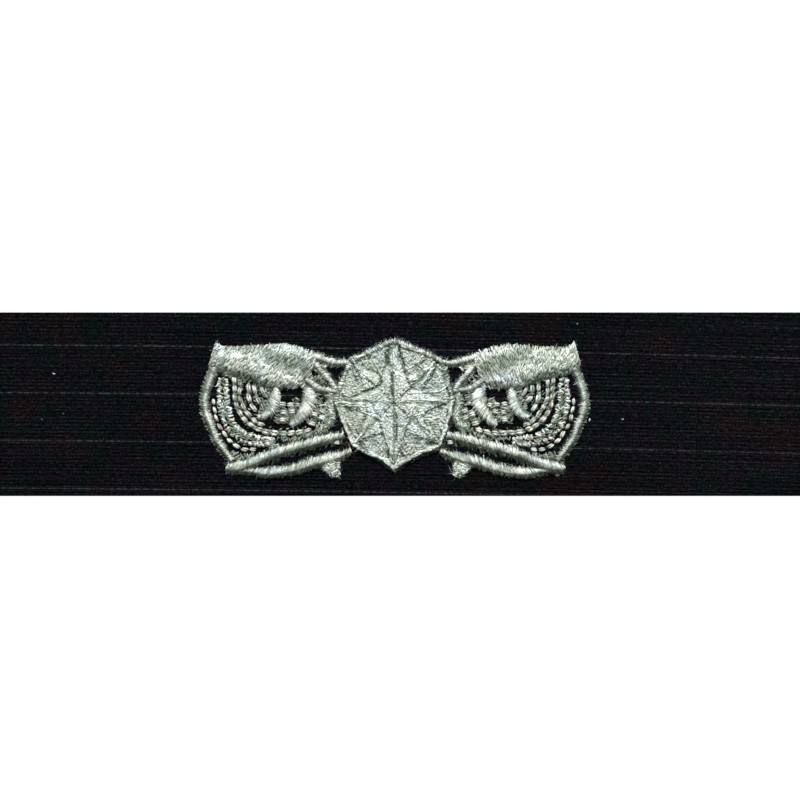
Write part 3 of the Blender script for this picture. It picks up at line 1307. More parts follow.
@dataclass
class ClothStrip:
    """The strip of ribbed cloth under the embroidery."""

    edge_round: float = 0.35  # How far each long edge is rounded
    rib_depth: float = 0.05  # Depth of the valley between two ribs
    columns: int = 64  # Stations along the strip
    rows: int = 300  # Stations across its flat part
    edge_rows: int = 6  # Stations over the rounding of one edge
    finish: ClothFinish = field(default_factory=ClothFinish)  # Its cloth

    def mesh(self) -> MeshPart:
        """Works out the strip as a closed slab.

        Across the strip y runs from edge to edge, crowded as a cosine over each rounding. The front is at the
        thickness less the rounding's drop, r - sqrt(r^2 - d^2) at d beyond the flat part, and less the ribs,
        which follow a cosine of the height across. The back mirrors the front about half the thickness.

        Returns:
            The slab.
        """
        half = float(STRIP_HIGH[1])
        flat = half - self.edge_round
        turn = np.linspace(0, np.pi / 2, self.edge_rows + 1)
        edge = flat + self.edge_round * np.sin(turn)
        y = np.concatenate([-edge[::-1], np.linspace(-flat, flat, self.rows)[1:-1], edge])
        beyond = np.clip(np.abs(y) - flat, 0, self.edge_round)
        drop = self.edge_round - np.sqrt(self.edge_round**2 - beyond**2)
        x = np.linspace(STRIP_LOW[0], STRIP_HIGH[0], self.columns)
        grid_x, grid_y = np.meshgrid(x, y, indexing="ij")
        level = grid_y + grid_x * (self.finish.slope + self.finish.bend * grid_x)
        rib = 0.5 - 0.5 * np.cos(2 * np.pi * level / self.finish.rib + np.pi / 2)
        sink = drop[None] + self.rib_depth * rib * (beyond[None] == 0)
        front = np.stack([grid_x, grid_y, STRIP_TOP - sink], axis=-1)
        back = np.stack([grid_x, grid_y, sink], axis=-1)
        rings = np.concatenate([back, front[:, ::-1]], axis=1)
        around = rings.shape[1]
        pairs = np.arange(len(y) - 1)
        cap = np.stack([pairs, pairs + 1, around - 2 - pairs, around - 1 - pairs], axis=1)
        last = (self.columns - 1) * around
        faces = np.vstack([ring_faces(self.columns, around)[:, ::-1], cap[:, ::-1], cap + last])
        return MeshPart(rings.reshape(-1, 3), faces)

    def build(self) -> None:
        finishes = {Slot.CLOTH: self.finish.material()}
        strip = add_piece("cloth_strip_weave", self.mesh(), finishes, Slot.CLOTH, "cloth_strip")


# The three mixes of thread: bright in the raised parts, duller in the rose's ground, and warmer in the rows
THREADS = {
    Slot.SATIN: ThreadFinish("satin_thread", cool=(0.443, 0.478, 0.434, 1)),
    Slot.GROUND: ThreadFinish("ground_thread", cool=(0.433, 0.468, 0.424, 1)),
    Slot.ROWS: ThreadFinish("row_thread", cool=(0.452, 0.48, 0.434, 1), warm=(0.59, 0.52, 0.45, 1)),
}


@dataclass(frozen=True)
class PadPlan:
    """One pad, cord or row of a wing and the way it is sewn."""

    name: str  # Name of the piece, after its side
    rows: tuple[tuple[float, ...], ...]  # Its table
    stitching: Stitching  # Its stitches
    slot: Slot = Slot.SATIN  # The record's slot for its thread
    padded: bool = True  # Whether it has padding under the stitches
    # How far the stitches run on at its start and end, to join the next pad
    tails: Span = (0.0, 0.0)
    underlay: Stitching | None = None  # Stitches under those, where it has some
    right_stitching: Stitching | None = None  # Its stitches on the right wing, where they differ

    def layers(self, side: Side) -> list[Stitching]:
        """Gives its stitchings on one side, from the lowest up."""
        top = self.right_stitching if side is Side.RIGHT and self.right_stitching else self.stitching
        return [layer for layer in (self.underlay, top) if layer]


DIM_THREAD = Thread(0.11, 0.08, tone=0.5, tone_spread=0.2, taper=0.6)
DIM_FILL = Fill(DIM_THREAD, length=1.0, lean=60.0, lean_end=60.0, margin=-0.2, layers=1, depth=0.3)
FINE_FILL = replace(
    DIM_FILL, thread=replace(DIM_THREAD, tone=0.45), length=0.8, spacing=0.2, spread=30.0, margin=-0.5
)
UNDERLAY_FILL = Fill(
    replace(DIM_THREAD, half_width=0.12), spacing=0.3, lean=20.0, lean_end=20.0, spread=25.0, depth=0.25
)
CREST_THREAD = Thread(0.135, 0.12, tone=1.3, tone_spread=0.2, warm=0.15, taper=0.7)
CREST_FILL = Fill(CREST_THREAD, length=1.4, spacing=0.23, spread=16.0, margin=-0.05, shade=0.4)
WEB_FILL = replace(CREST_FILL, length=1.1, lean=60.0, lean_end=60.0, spread=35.0)
TAB_FILL = Fill(replace(CREST_THREAD, tone=1.4), length=0.6, spread=35.0, margin=-0.1)
BRIGHT_THREAD = Thread(tone=1.45)
CREST_SATIN = Satin(
    BRIGHT_THREAD,
    slant=0.4,
    ragged=0.2,
    start=0.22,
    end=1.2,
    fringe=0.5,
    peak=0.65,
    near_shade=0.5,
    shade=0.25,
)
OUTLINE_SATIN = Satin(
    Thread(tone=1.38), pitch=0.16, slant=0.3, ragged=0.25, fringe=0.8, peak=0.4, near_shade=0.4, shade=0.62
)
SCROLL_SATIN = Satin(
    Thread(tone=2.5, tone_spread=0.5), slant=0.8, ragged=0.2, fringe=0.6, peak=0.3, shade=0.78, fall=0.6
)
LEFT_SCROLL_SATIN = replace(SCROLL_SATIN, start=-0.16, end=0.88, peak=0.2)
UPPER_SATIN = Satin(BRIGHT_THREAD, slant=1.0, ragged=0.28, fringe=1.1, peak=0.33, near_shade=0.3, shade=0.75)
LOWER_SATIN = replace(UPPER_SATIN, start=0.08, fringe=0.7, peak=0.45, near_shade=0.5, shade=0.65)
WING_PLANS = (
    PadPlan("crest", CREST, CREST_FILL, right_stitching=replace(CREST_FILL, lean=-35.0, lean_end=15.0)),
    PadPlan("crest_cord", CREST_CORD, CREST_SATIN, tails=(1.2, 0.8)),
    PadPlan("crest_strut", CREST_STRUT, replace(CREST_SATIN, thread=Thread(tone=2.0)), tails=(0.6, 1.0)),
    PadPlan("crest_tail", CREST_TAIL, CREST_SATIN, tails=(1.2, 1.1)),
    PadPlan("outline_cord", OUTLINE_CORD, OUTLINE_SATIN, tails=(0.9, 1.2)),
    PadPlan("dot_row", DOT_ROW, Running(dash=1.2, gap=0.25, row_width=0.5), Slot.ROWS, False),
    PadPlan("zigzag_band", ZIGZAG_BAND, Zigzag(), Slot.ROWS, False, (0.45, 0.0), DIM_FILL),
    *(
        PadPlan(name, rows, Running(), Slot.ROWS, False, (tail, 0.0), FINE_FILL)
        for name, rows, tail in (
            ("double_row_outer", DOUBLE_ROW_OUTER, 0.5),
            ("double_row_inner", DOUBLE_ROW_INNER, 1.1),
            ("short_row_outer", SHORT_ROW_OUTER, 0.5),
            ("short_row_middle", SHORT_ROW_MIDDLE, 0.7),
            ("short_row_inner", SHORT_ROW_INNER, 0.5),
        )
    ),
    PadPlan("scroll_inner", SCROLL_INNER, LEFT_SCROLL_SATIN, tails=(0.5, 0.0), right_stitching=SCROLL_SATIN),
    PadPlan("scroll_outer", SCROLL_OUTER, LEFT_SCROLL_SATIN, tails=(0.6, 0.0), right_stitching=SCROLL_SATIN),
    PadPlan("scroll_web", SCROLL_WEB, WEB_FILL, tails=(0.8, 0.0)),
    PadPlan("bar_upper", BAR_UPPER, UPPER_SATIN, tails=(0.0, 0.9)),
    PadPlan("bar_lower", BAR_LOWER, LOWER_SATIN, tails=(2.4, 0.8)),
    PadPlan("tail_tab", TAIL_TAB, TAB_FILL, tails=(1.1, 0.0)),
)

# Low underlay that shows between a wing's pads: brightness, then rows of x, y and half width
UNDERLAY = (
    (0.45, ((29.3, 5.5, 0.6), (27.4, 4.85, 0.6), (24.8, 4.1, 0.6), (22.7, 3.5, 0.6), (21, 2.7, 0.5))),
    (0.42, ((21.7, 2.7, 0.5), (22, 0.7, 0.7), (22.7, -1, 0.65), (23.5, -2.2, 0.5))),
    (0.45, ((16.7, 1, 0.6), (17.5, -1, 0.75), (18.4, -2.7, 0.5))),
    (0.6, ((10.9, 1.6, 1.1), (11, -1, 1.2), (11.6, -3.2, 1.2), (13.4, -4.7, 0.7))),
    (0.5, ((20.2, -5.9, 0.5), (17, -5.8, 0.6), (14, -5.1, 0.6), (11.5, -4.4, 0.5))),
    (0.4, ((28.2, -8.6, 0.7), (26, -9.1, 0.6), (24, -8.6, 0.4))),
    (0.8, ((22.4, -5.5, 0.8), (21.3, -6.6, 0.9), (20.3, -7.6, 0.6))),
    (0.7, ((14.9, 5, 0.7), (14.2, 3.5, 0.7), (15, 2.3, 0.7))),
    (1.3, ((14, 7.9, 0.6), (12.7, 7, 0.65), (11.5, 6.1, 0.5))),
    (0.35, ((13.6, 5, 0.8), (12.4, 4, 0.6), (11.3, 3.2, 0.35))),
    (0.26, ((19.7, 0.3, 0.9), (19.4, -1.4, 1.3), (19.3, -3.3, 1.4))),
    (0.42, ((15, -2.9, 0.9), (13.3, -2.2, 1.1), (12.4, -0.4, 1))),
    (0.5, ((13.2, 2.2, 0.5), (12.8, 1, 0.7), (12.8, -0.3, 0.7))),
    (1.8, ((15.3, 3.4, 0.6), (17, 3.3, 0.7), (18.6, 3.3, 0.7), (20.5, 3.55, 0.6))),
    (1.5, ((13.8, 7.3, 0.5), (13.2, 6.4, 0.55), (12.9, 5.8, 0.45))),
)
# Height of the underlay, and of the lone stitches
UNDERLAY_HEIGHT = 0.3
LONE_HEIGHT = 0.22

# Small lone stitches between a wing's scrolls.
# Columns: x outwards, y, length, angle in degrees
LONE_STITCHES = (
    (19.1, 0, 1.1, 10), (17.8, -0.1, 1.2, -5), (16.6, -0.15, 0.9, -10), (19, -1.4, 1.1, 0),
    (17.55, -1.3, 1.2, -8), (19.2, -2.7, 1.2, 5), (12.25, -1.2, 1.2, 30), (13.6, -1.75, 1.1, 15),
    (12.35, -2.35, 1.3, 20), (14.1, -3.35, 1.4, 15), (9.8, -6.6, 1.1, 5),
)


@dataclass
class Wing:
    """One scroll wing: its crest, cords, rows of stitches, scrolls and bars."""

    side: Side  # Which side of the rose it is on
    finishes: Finishes  # The thread materials
    plans: tuple[PadPlan, ...] = WING_PLANS  # Its pads

    def named(self, piece: str) -> str:
        """Gives a piece its name on this side."""
        return f"{self.side.name.lower()}_{piece}"

    def place(self, name: str, points: Array) -> Array:
        """Moves points from the wing's own table to the strip.

        x becomes the badge's x + sign * (x + drift), and y becomes the badge's y + y + drift.

        Args:
            name: Name of the piece, which sets its drift on the right wing.
            points: Points with x and y first, along the last axis.

        Returns:
            The moved points.
        """
        drift = RIGHT_DRIFT.get(name, (0.0, 0.0)) if self.side is Side.RIGHT else (0.0, 0.0)
        moved = points.copy()
        moved[..., 0] = BADGE_X + self.side.value * (points[..., 0] + drift[0])
        moved[..., 1] = BADGE_Y + points[..., 1] + drift[1]
        return moved

    def patch(self, plan: PadPlan) -> DomedPatch:
        """Works out a pad's surface: ruled between two edges for the crest, and else from its centre line.

        Args:
            plan: What the pad is.

        Returns:
            Its surface.
        """
        rows = np.array(plan.rows)
        if plan.rows is not CREST:
            return DomedPatch.from_rows(self.place(plan.name, rows), STRIP_TOP, tails=plan.tails)
        fine = smooth_rows(rows, ROW_STEPS)
        low, top = (lifted(self.place(plan.name, edge), STRIP_TOP) for edge in (fine[:, :2], fine[:, 2:4]))
        return DomedPatch(*((top, low) if self.side is Side.LEFT else (low, top)), fine[:, 4])

    def pad(self, plan: PadPlan) -> DomedPatch:
        """Sews one pad and makes it a piece.

        Args:
            plan: What it is and how it is sewn.

        Returns:
            Its surface.
        """
        node = self.named(plan.name)
        patch = self.patch(plan)
        rng = dice(node)
        parts = [part for layer in plan.layers(self.side) for part in layer.sew(patch, self.side.value, rng)]
        if plan.padded:
            parts.append(patch.padding())
        whole = MeshPart.join(parts)
        self.light(plan.name, whole)
        add_piece(f"{node}_stitches", whole, self.finishes, plan.slot, node)
        return patch

    def light(self, name: str, part: MeshPart) -> None:
        """Brightens or darkens a part in the wing's broad bands.

        At distance d from the run of a band of half width w the tone grows by the band's share of it times
        1 - (d / w)^2.

        Args:
            name: Name of the pad, which sets the bands' drift on the right wing.
            part: The part, which is changed in place.
        """
        places = part.vertices[:, :2]
        for half, gain, table in WING_BANDS:
            run = self.place(name, np.array(table))
            away = np.min([away_from(places, start, end) for start, end in zip(run[:-1], run[1:])], axis=0)
            lit = 1 + gain * np.clip(1 - (away / half) ** 2, 0.0, 1.0)
            part.attributes["tone"] = part.attributes["tone"] * lit

    def underlay(self) -> None:
        """Sews the low underlay between the pads, each stretch in its own brightness."""
        name = self.named("underlay_stitches")
        rng = dice(name)
        parts = []
        for tone, table in UNDERLAY:
            rows = np.insert(self.place(name, np.array(table)), 3, UNDERLAY_HEIGHT, axis=1)
            patch = DomedPatch.from_rows(rows, STRIP_TOP)
            fill = replace(UNDERLAY_FILL, thread=replace(UNDERLAY_FILL.thread, tone=tone))
            parts += fill.sew(patch, self.side.value, rng)
        add_piece(name, MeshPart.join(parts), self.finishes, Slot.SATIN)

    def lone_stitches(self) -> None:
        """Sews the small lone stitches: two strands side by side that arch out of the cloth.

        A strand's height is its arch, the root of a half sine, between a start and an end under the cloth.
        """
        name = self.named("lone_stitches")
        thread = Running().thread
        table = np.array(LONE_STITCHES)
        way = heading(np.radians(table[:, 3]))
        t = np.linspace(0, 1, DASH_STATIONS)
        arch = arch_over(t)
        lines = []
        for strand in Running().strands:
            middle = table[:, :2] + square_to(way) * strand * thread.half_width
            flat = middle[:, None] + way[:, None] * ((t - 0.5) * table[:, 2:3])[..., None]
            lines.append(lifted(self.place(name, flat), STRIP_TOP + LONE_HEIGHT * arch - PLUNGE * (1 - arch)))
        add_piece(name, thread.mesh(np.concatenate(lines), dice(name)), self.finishes, Slot.ROWS)

    def build(self) -> list[DomedPatch]:
        """Builds every piece of the wing.

        Returns:
            The surfaces of its padded pieces.
        """
        patches = [self.pad(plan) for plan in self.plans]
        self.underlay()
        self.lone_stitches()
        return [patch for patch, plan in zip(patches, self.plans) if plan.padded]


@dataclass
class Rose:
    """The compass rose: its filled ground, eight ridged points and the cord round it."""

    finishes: Finishes  # The thread materials
    ring_half_width: float = 0.4  # Half the width of the cord
    ring_height: float = 0.85  # Its height
    field_share: float = 0.935  # Share of the outline that the ground's body fills
    fill_share: float = 0.985  # Share of the outline that the ground's stitches fill
    core_hub: float = 0.05  # Scale of the small rings that close the ground's body, below and on top
    core_shoulder: float = 0.985  # Scale of the edge of its top
    core_levels: Span = (0.55, 0.72)  # Shares of its height at which its wall ends and its top lies
    side_stations: int = 7  # Stations along a side of the cord and of the ground's body
    sector_stations: int = 9  # Stations along the ground between two points
    point_stations: int = 11  # Even stations along a point, to which its side corners come
    valley: float = 3.9  # Distance of the valleys between the main points from the middle
    shoulder: float = 0.28  # Share of a main point's edge that passes before another point starts behind it
    point_gap: float = 0.1  # Gap between a main point and the ones behind it
    point_start: float = 0.15  # Distance from the middle at which the main points begin
    point_end_gap: float = 0.75  # Gap between a point's tip and the corner of the outline
    point_blunt: float = 0.06  # Half the width of a point at its start and its tip
    eaves_height: float = 0.1  # Height of the points' edges over the ground
    # Height of the ridges over the edges, on the main points and on the others
    ridge_heights: Span = (0.38, 0.22)
    tip_height: float = 0.1  # Height of the ridges over the edges at their tips
    ridge_from: float = 0.08  # Share of the way along a point at which its ridge is highest
    ridge_profile: Span = (1.1, 0.75)  # Bow and fullness of a whole point, as DomedPatch has them
    slope_dome: float = 0.04  # Height by which a point's slopes are domed
    slope_fullness: float = 0.5  # Fullness of the slopes and of the ground
    groove: float = 0.02  # Gap between a point and the ground's stitches
    groove_start: float = 0.6  # Share of that gap at the ground's shoulder between two points
    ground_sink: float = 0.02  # Depth of the ground's stitches under its top
    ground_dome: float = 0.06  # Height by which they are domed
    # Sides of the cord that are laid lengthwise, counted clockwise from the north
    smooth_sides: tuple[int, ...] = (2, 3, 4, 5)
    # Half width and strength of the dark lines on the ridges, at the points' edges and in the valleys
    seams: tuple[Span, ...] = ((0.23, 0.75), (0.2, 0.65), (0.18, 0.35))
    padding_tone: float = 0.8  # Brightness of its padding
    padding_keep: float = 0.8  # Share of a point's width and height that its padding keeps
    # Short stitches that fill the ground and the points
    stitching: Fill = Fill(
        thread=Thread(0.19, 0.12, tone=1.17, tone_spread=0.08, warm=0.15, taper=0.7),
        length=0.75,
        spacing=0.25,
        lean=60.0,
        lean_end=60.0,
        spread=22.0,
        depth=0.05,
    )
    # Stitches across the cord
    nubby: Satin = Satin(
        Thread(half_width=0.19, tone=0.88, tone_spread=0.35), pitch=0.33, slant=0.3, ragged=0.16, shade=0.2
    )
    # Stitches along its smooth sides
    smooth: Running = Running(
        Thread(0.17, 0.15, tone=1.2, tone_spread=0.2, warm=0.15),
        dash=1.9,
        gap=-1.1,
        strands=(-0.6, 0.6),
        row_width=0.8,
    )
    # The bright threads across the rose, at a half width of one pixel in their table
    strand: Thread = Thread(0.85 / PX_PER_MM, 0.7 / PX_PER_MM, tone=1.3, tone_spread=0.3, warm=0.1, taper=0.7)
    strand_step: float = 0.5  # Distance from one length of a strand to the next
    strand_length: float = 0.95  # Length of each of them
    strand_sway: float = 0.05  # How far each usually lies out of its place
    strand_lift: float = 0.2  # How high they lie on what is sewn, in half heights of their thread

    def __post_init__(self) -> None:
        """Works out the corners, the points' directions and tips, and the rose's middle on the strip."""
        table = np.array(ROSE_CORNERS)
        self.corners = table[:, :2]
        self.bulges = table[:, 2]
        self.ways = unit(self.corners)
        self.tips = self.corners - self.ways * self.point_end_gap
        self.middle = np.array([BADGE_X, BADGE_Y + ROSE_LIFT])
        self.relief = Relief(self.dark_lines())
        self.sewn: list[Array] = []

    def dark_lines(self) -> Array:
        """Gives the grooves and the star's own seams: its ridges, the edges of its points and its valleys.

        Returns:
            Rows of start x, start y, end x, end y, half width and strength, in millimetres.
        """
        table = np.array(GROOVES)
        width = table[:, 4:] / PX_PER_MM
        grooves = np.hstack([charted(table[:, :4]), width, np.ones_like(width)])
        ridge, eaves, valley = self.seams
        rows = []
        for index, (way, tip) in enumerate(zip(self.ways, self.tips)):
            inner = way * self.valley * (index % 2)
            rows.append([*inner, *tip, *ridge])
            for turn in (-1, 1):
                corner = self.side_corner(index, turn)
                rows.append([*corner, *tip, *eaves])
                rows.append([*inner, *corner, *valley])
        seams = np.array(rows)
        seams[:, :4] += np.tile(self.middle, 2)
        return np.vstack([grooves, seams])

    def side_line(self, index: int, share: float, stations: int) -> Array:
        """Gives one side of the outline, from its corner to the next one clockwise.

        The straight side is bowed outwards by 4t(1 - t) times its bulge, and all is scaled about the middle.

        Args:
            index: Number of the side's first corner, clockwise from the north.
            share: Scale of the outline.
            stations: Number of points.

        Returns:
            Points of shape (stations, 2), about the rose's middle.
        """
        start = self.corners[index]
        end = self.corners[(index + 1) % len(self.corners)]
        t = np.linspace(0, 1, stations)[:, None]
        outwards = square_to(unit(end - start))
        return (start * (1 - t) + end * t + outwards * self.bulges[index] * 4 * t * (1 - t)) * share

    def raise_points(self, flat: Array, level: float | Array) -> Array:
        """Puts points about the rose's middle on the strip, at a level."""
        return lifted(flat + self.middle, level)

    def ground_core(self) -> MeshPart:
        """Makes the ground's body: rings of the outline, shrunk towards the middle, closed below and on top.

        The rings go up the wall and in over a rounded edge to a small ring that one fan of faces closes.

        Returns:
            A closed mesh.
        """
        numbers = range(len(self.corners))
        sides = [self.side_line(i, self.field_share, self.side_stations)[:-1] for i in numbers]
        outline = np.concatenate(sides)[::-1]
        wall, top = np.array(self.core_levels) * (FIELD_TOP - STRIP_TOP)
        shares = np.array([self.core_hub, 1.0, 1.0, self.core_shoulder, self.core_hub])
        levels = np.array([-PLUNGE, -PLUNGE, wall, top, top]) + STRIP_TOP
        points = self.raise_points(outline * shares[:, None, None], levels[:, None]).reshape(-1, 3)
        return MeshPart.plain(points, closed_faces(len(shares), len(outline), -1), self.padding_tone)

    def sector(self, index: int) -> DomedPatch:
        """Gives the part of the ground between a point and the next one clockwise.

        It opens from the shoulder between them to the cord. It keeps a groove from both points, which grows
        from the share groove_start of its width at the shoulder to all of it.

        Args:
            index: Number of the first of the two points.

        Returns:
            Its surface, with the travel outwards.
        """
        after = (index + 1) % len(self.corners)
        start = self.side_corner(after, -1) if index % 2 == 0 else self.side_corner(index, 1)
        start = start + unit(start) * self.groove
        side = self.side_line(index, self.fill_share, self.sector_stations)
        t = np.linspace(0, 1, self.sector_stations)[:, None]
        first = start * (1 - t) + side[0] * t
        second = start * (1 - t) + side[-1] * t
        shift = self.groove * unit(self.corners[after] - self.corners[index])
        shift = shift * (self.groove_start + (1 - self.groove_start) * t)
        level = FIELD_TOP - self.ground_sink
        left, right = (self.raise_points(edge, level) for edge in (first + shift, second - shift))
        return DomedPatch(left, right, np.full(len(t), self.ground_dome), fullness=self.slope_fullness)

    def ground(self) -> None:
        """Sews the ground: short stitches in each sector, over its body."""
        rng = dice("rose_field")
        parts = [self.ground_core()]
        for index, tones in enumerate(ROSE_TONES):
            parts += self.toned(tones[2]).sew(self.sector(index), 1 if index % 2 else -1, rng)
        self.finish("rose_ground_stitches", parts, Slot.GROUND, "rose_field")

    def toned(self, tone: float) -> Fill:
        """Gives the rose's stitching at a multiple of its brightness."""
        thread = self.stitching.thread
        return replace(self.stitching, thread=replace(thread, tone=thread.tone * tone))

    def side_corner(self, index: int, turn: int) -> Array:
        """Gives the side corner of a point towards its neighbour.

        A main point's lies in the valley, half a gap off the way of the point behind it. Another point's lies
        at valley + shoulder * (tip - valley) on the edge of the main point, a gap off it.

        Args:
            index: Number of the point, clockwise from the north.
            turn: 1 for the neighbour clockwise and -1 for the other.

        Returns:
            The corner, about the rose's middle.
        """
        beside = (index + turn) % len(self.corners)
        main, back = (index, beside) if index % 2 == 0 else (beside, index)
        valley = self.ways[back] * self.valley
        edge = self.tips[main] - valley
        along, gap = (valley, self.point_gap / 2) if index == main else (edge, self.point_gap)
        start = valley if index == main else valley + edge * self.shoulder
        return start + unit(square_to(along)) * turn * gap

    def point_patch(self, index: int) -> DomedPatch:
        """Gives one point of the rose as a ridge between its two eaves.

        The eaves go out from the start to the side corners and in again to the tip. The ridge rises at the
        start and falls steadily from there to the tip.

        Args:
            index: Number of the point, clockwise from the north.

        Returns:
            Its surface, with the travel outwards.
        """
        way = self.ways[index]
        start = way * (self.point_start if index % 2 == 0 else self.valley + 2 * self.point_gap)
        tip = self.tips[index]
        square = square_to(way) * self.point_blunt
        corners = np.stack([self.side_corner(index, turn) for turn in (-1, 1)])
        knots = (corners - start) @ way / np.linalg.norm(tip - start)
        t = np.unique(np.concatenate([np.linspace(0, 1, self.point_stations), knots]))
        edges = []
        for corner, knot, sign in zip(corners, knots, (1.0, -1.0)):
            edge = np.stack([start + square * sign, corner, tip + square * sign])
            flat = along_line(edge, np.array([0.0, knot, 1.0]), t)
            edges.append(self.raise_points(flat, FIELD_TOP + self.eaves_height))
        top = self.ridge_heights[index % 2]
        rise = np.interp(t, [0.0, self.ridge_from, 1.0], [self.tip_height, top, self.tip_height])
        return DomedPatch(*edges, rise, *self.ridge_profile)

    def slopes(self, index: int) -> list[DomedPatch]:
        """Gives a point's two slopes, each between an edge and the ridge.

        Args:
            index: Number of the point, clockwise from the north.

        Returns:
            The slopes, the anticlockwise one first.
        """
        whole = self.point_patch(index)
        ridge = whole.at(whole.share, 0.5)
        rise = np.full(len(ridge), self.slope_dome)
        sides = ((whole.left, ridge), (ridge, whole.right))
        return [DomedPatch(left, right, rise, fullness=self.slope_fullness) for left, right in sides]

    def points(self) -> None:
        """Sews the eight points, each slope in its own brightness, over their padding."""
        for index, compass in enumerate(COMPASS):
            node = f"rose_point_{compass}"
            rng = dice(node)
            parts = [self.point_patch(index).padding(self.padding_keep, tone=self.padding_tone)]
            for hand, tone, slope in zip((1, -1), ROSE_TONES[index], self.slopes(index)):
                parts += self.toned(tone).sew(slope, hand, rng)
            self.finish(f"{node}_stitches", parts, Slot.SATIN, node)

    def cord(self) -> list[DomedPatch]:
        """Sews the cord round the rose, one side after the other.

        Returns:
            The sides' surfaces.
        """
        rng = dice("rose_cord")
        patches = []
        parts = []
        for index in range(len(self.corners)):
            line = self.side_line(index, 1.0, self.side_stations) + self.middle
            half = np.full((len(line), 1), self.ring_half_width)
            rows = np.hstack([line, half, np.full_like(half, self.ring_height)])
            patch = DomedPatch.from_rows(rows, STRIP_TOP, steps=2)
            stitching = self.smooth if index in self.smooth_sides else self.nubby
            parts += stitching.sew(patch, 1, rng) + [patch.padding()]
            patches.append(patch)
        self.finish("rose_cord_stitches", parts, Slot.SATIN, "rose_cord")
        return patches

    def finish(self, name: str, parts: list[MeshPart], slot: Slot, *nodes: str) -> None:
        """Joins a piece's parts, presses the grooves into them and keeps their points for what lies on top.

        Args:
            name: Name of the piece.
            parts: Its parts.
            slot: The slot of its thread.
            nodes: The CAD node that it stands for, if any.
        """
        whole = MeshPart.join(parts)
        self.relief.press(whole)
        self.sewn.append(whole.vertices)
        add_piece(name, whole, self.finishes, slot, *nodes)

    def tops(self, places: Array, cell: float = 0.2) -> Array:
        """Finds how high the stitches already sewn stand at some places.

        The points sewn are sorted into square cells, each with the height of its highest point. A place
        takes the middle height of the nine cells round it.

        Args:
            places: x and y on the last axis.
            cell: Side of a cell.

        Returns:
            Heights, without the last axis.
        """
        cloud = np.vstack(self.sewn)
        low = cloud[:, :2].min(axis=0) - 2 * cell
        shape = np.ceil((cloud[:, :2].max(axis=0) - low) / cell).astype(int) + 3
        grid = np.full(shape, STRIP_TOP)
        spots = ((cloud[:, :2] - low) / cell).astype(int)
        np.maximum.at(grid, (spots[:, 0], spots[:, 1]), cloud[:, 2])
        around = np.array([(i, j) for i in (-1, 0, 1) for j in (-1, 0, 1)])
        cells = np.clip(((places - low) / cell).astype(int)[..., None, :] + around, 0, shape - 1)
        return np.median(grid[cells[..., 0], cells[..., 1]], axis=-1)

    def faces(self) -> list[DomedPatch]:
        """Gives the surfaces of the ground and the points."""
        numbers = range(len(self.corners))
        return [self.sector(index) for index in numbers] + [self.point_patch(index) for index in numbers]

    def strands(self) -> None:
        """Lays the bright threads across the rose on top of what is sewn, in overlapping short lengths."""
        rng = dice("rose_strands")
        t = np.linspace(-0.5, 0.5, FILL_STATIONS)
        flat, scale = [], []
        for half, table in STRANDS:
            run = smooth_rows(charted(np.array(table)), ROW_STEPS)
            way = way_along(run)
            count = max(1, round(way[-1] / self.strand_step))
            share = ((np.arange(count) + 0.5) / count)[:, None] + t * self.strand_length / way[-1]
            sway = rng.normal(0, self.strand_sway, (count, 1, 2))
            flat.append(along_line(run, way / way[-1], share) + sway)
            scale.append(np.full(count, half))
        flat = np.concatenate(flat)
        height = self.tops(flat) + self.strand_lift * self.strand.half_height - (2 * t) ** 4 * PLUNGE
        part = self.strand.mesh(lifted(flat, height), rng, np.concatenate(scale))
        add_piece("rose_strands", part, self.finishes, Slot.SATIN)

    def build(self) -> list[DomedPatch]:
        """Builds the whole rose.

        Returns:
            The surfaces of its cord.
        """
        self.ground()
        self.points()
        patches = self.cord()
        self.strands()
        return patches


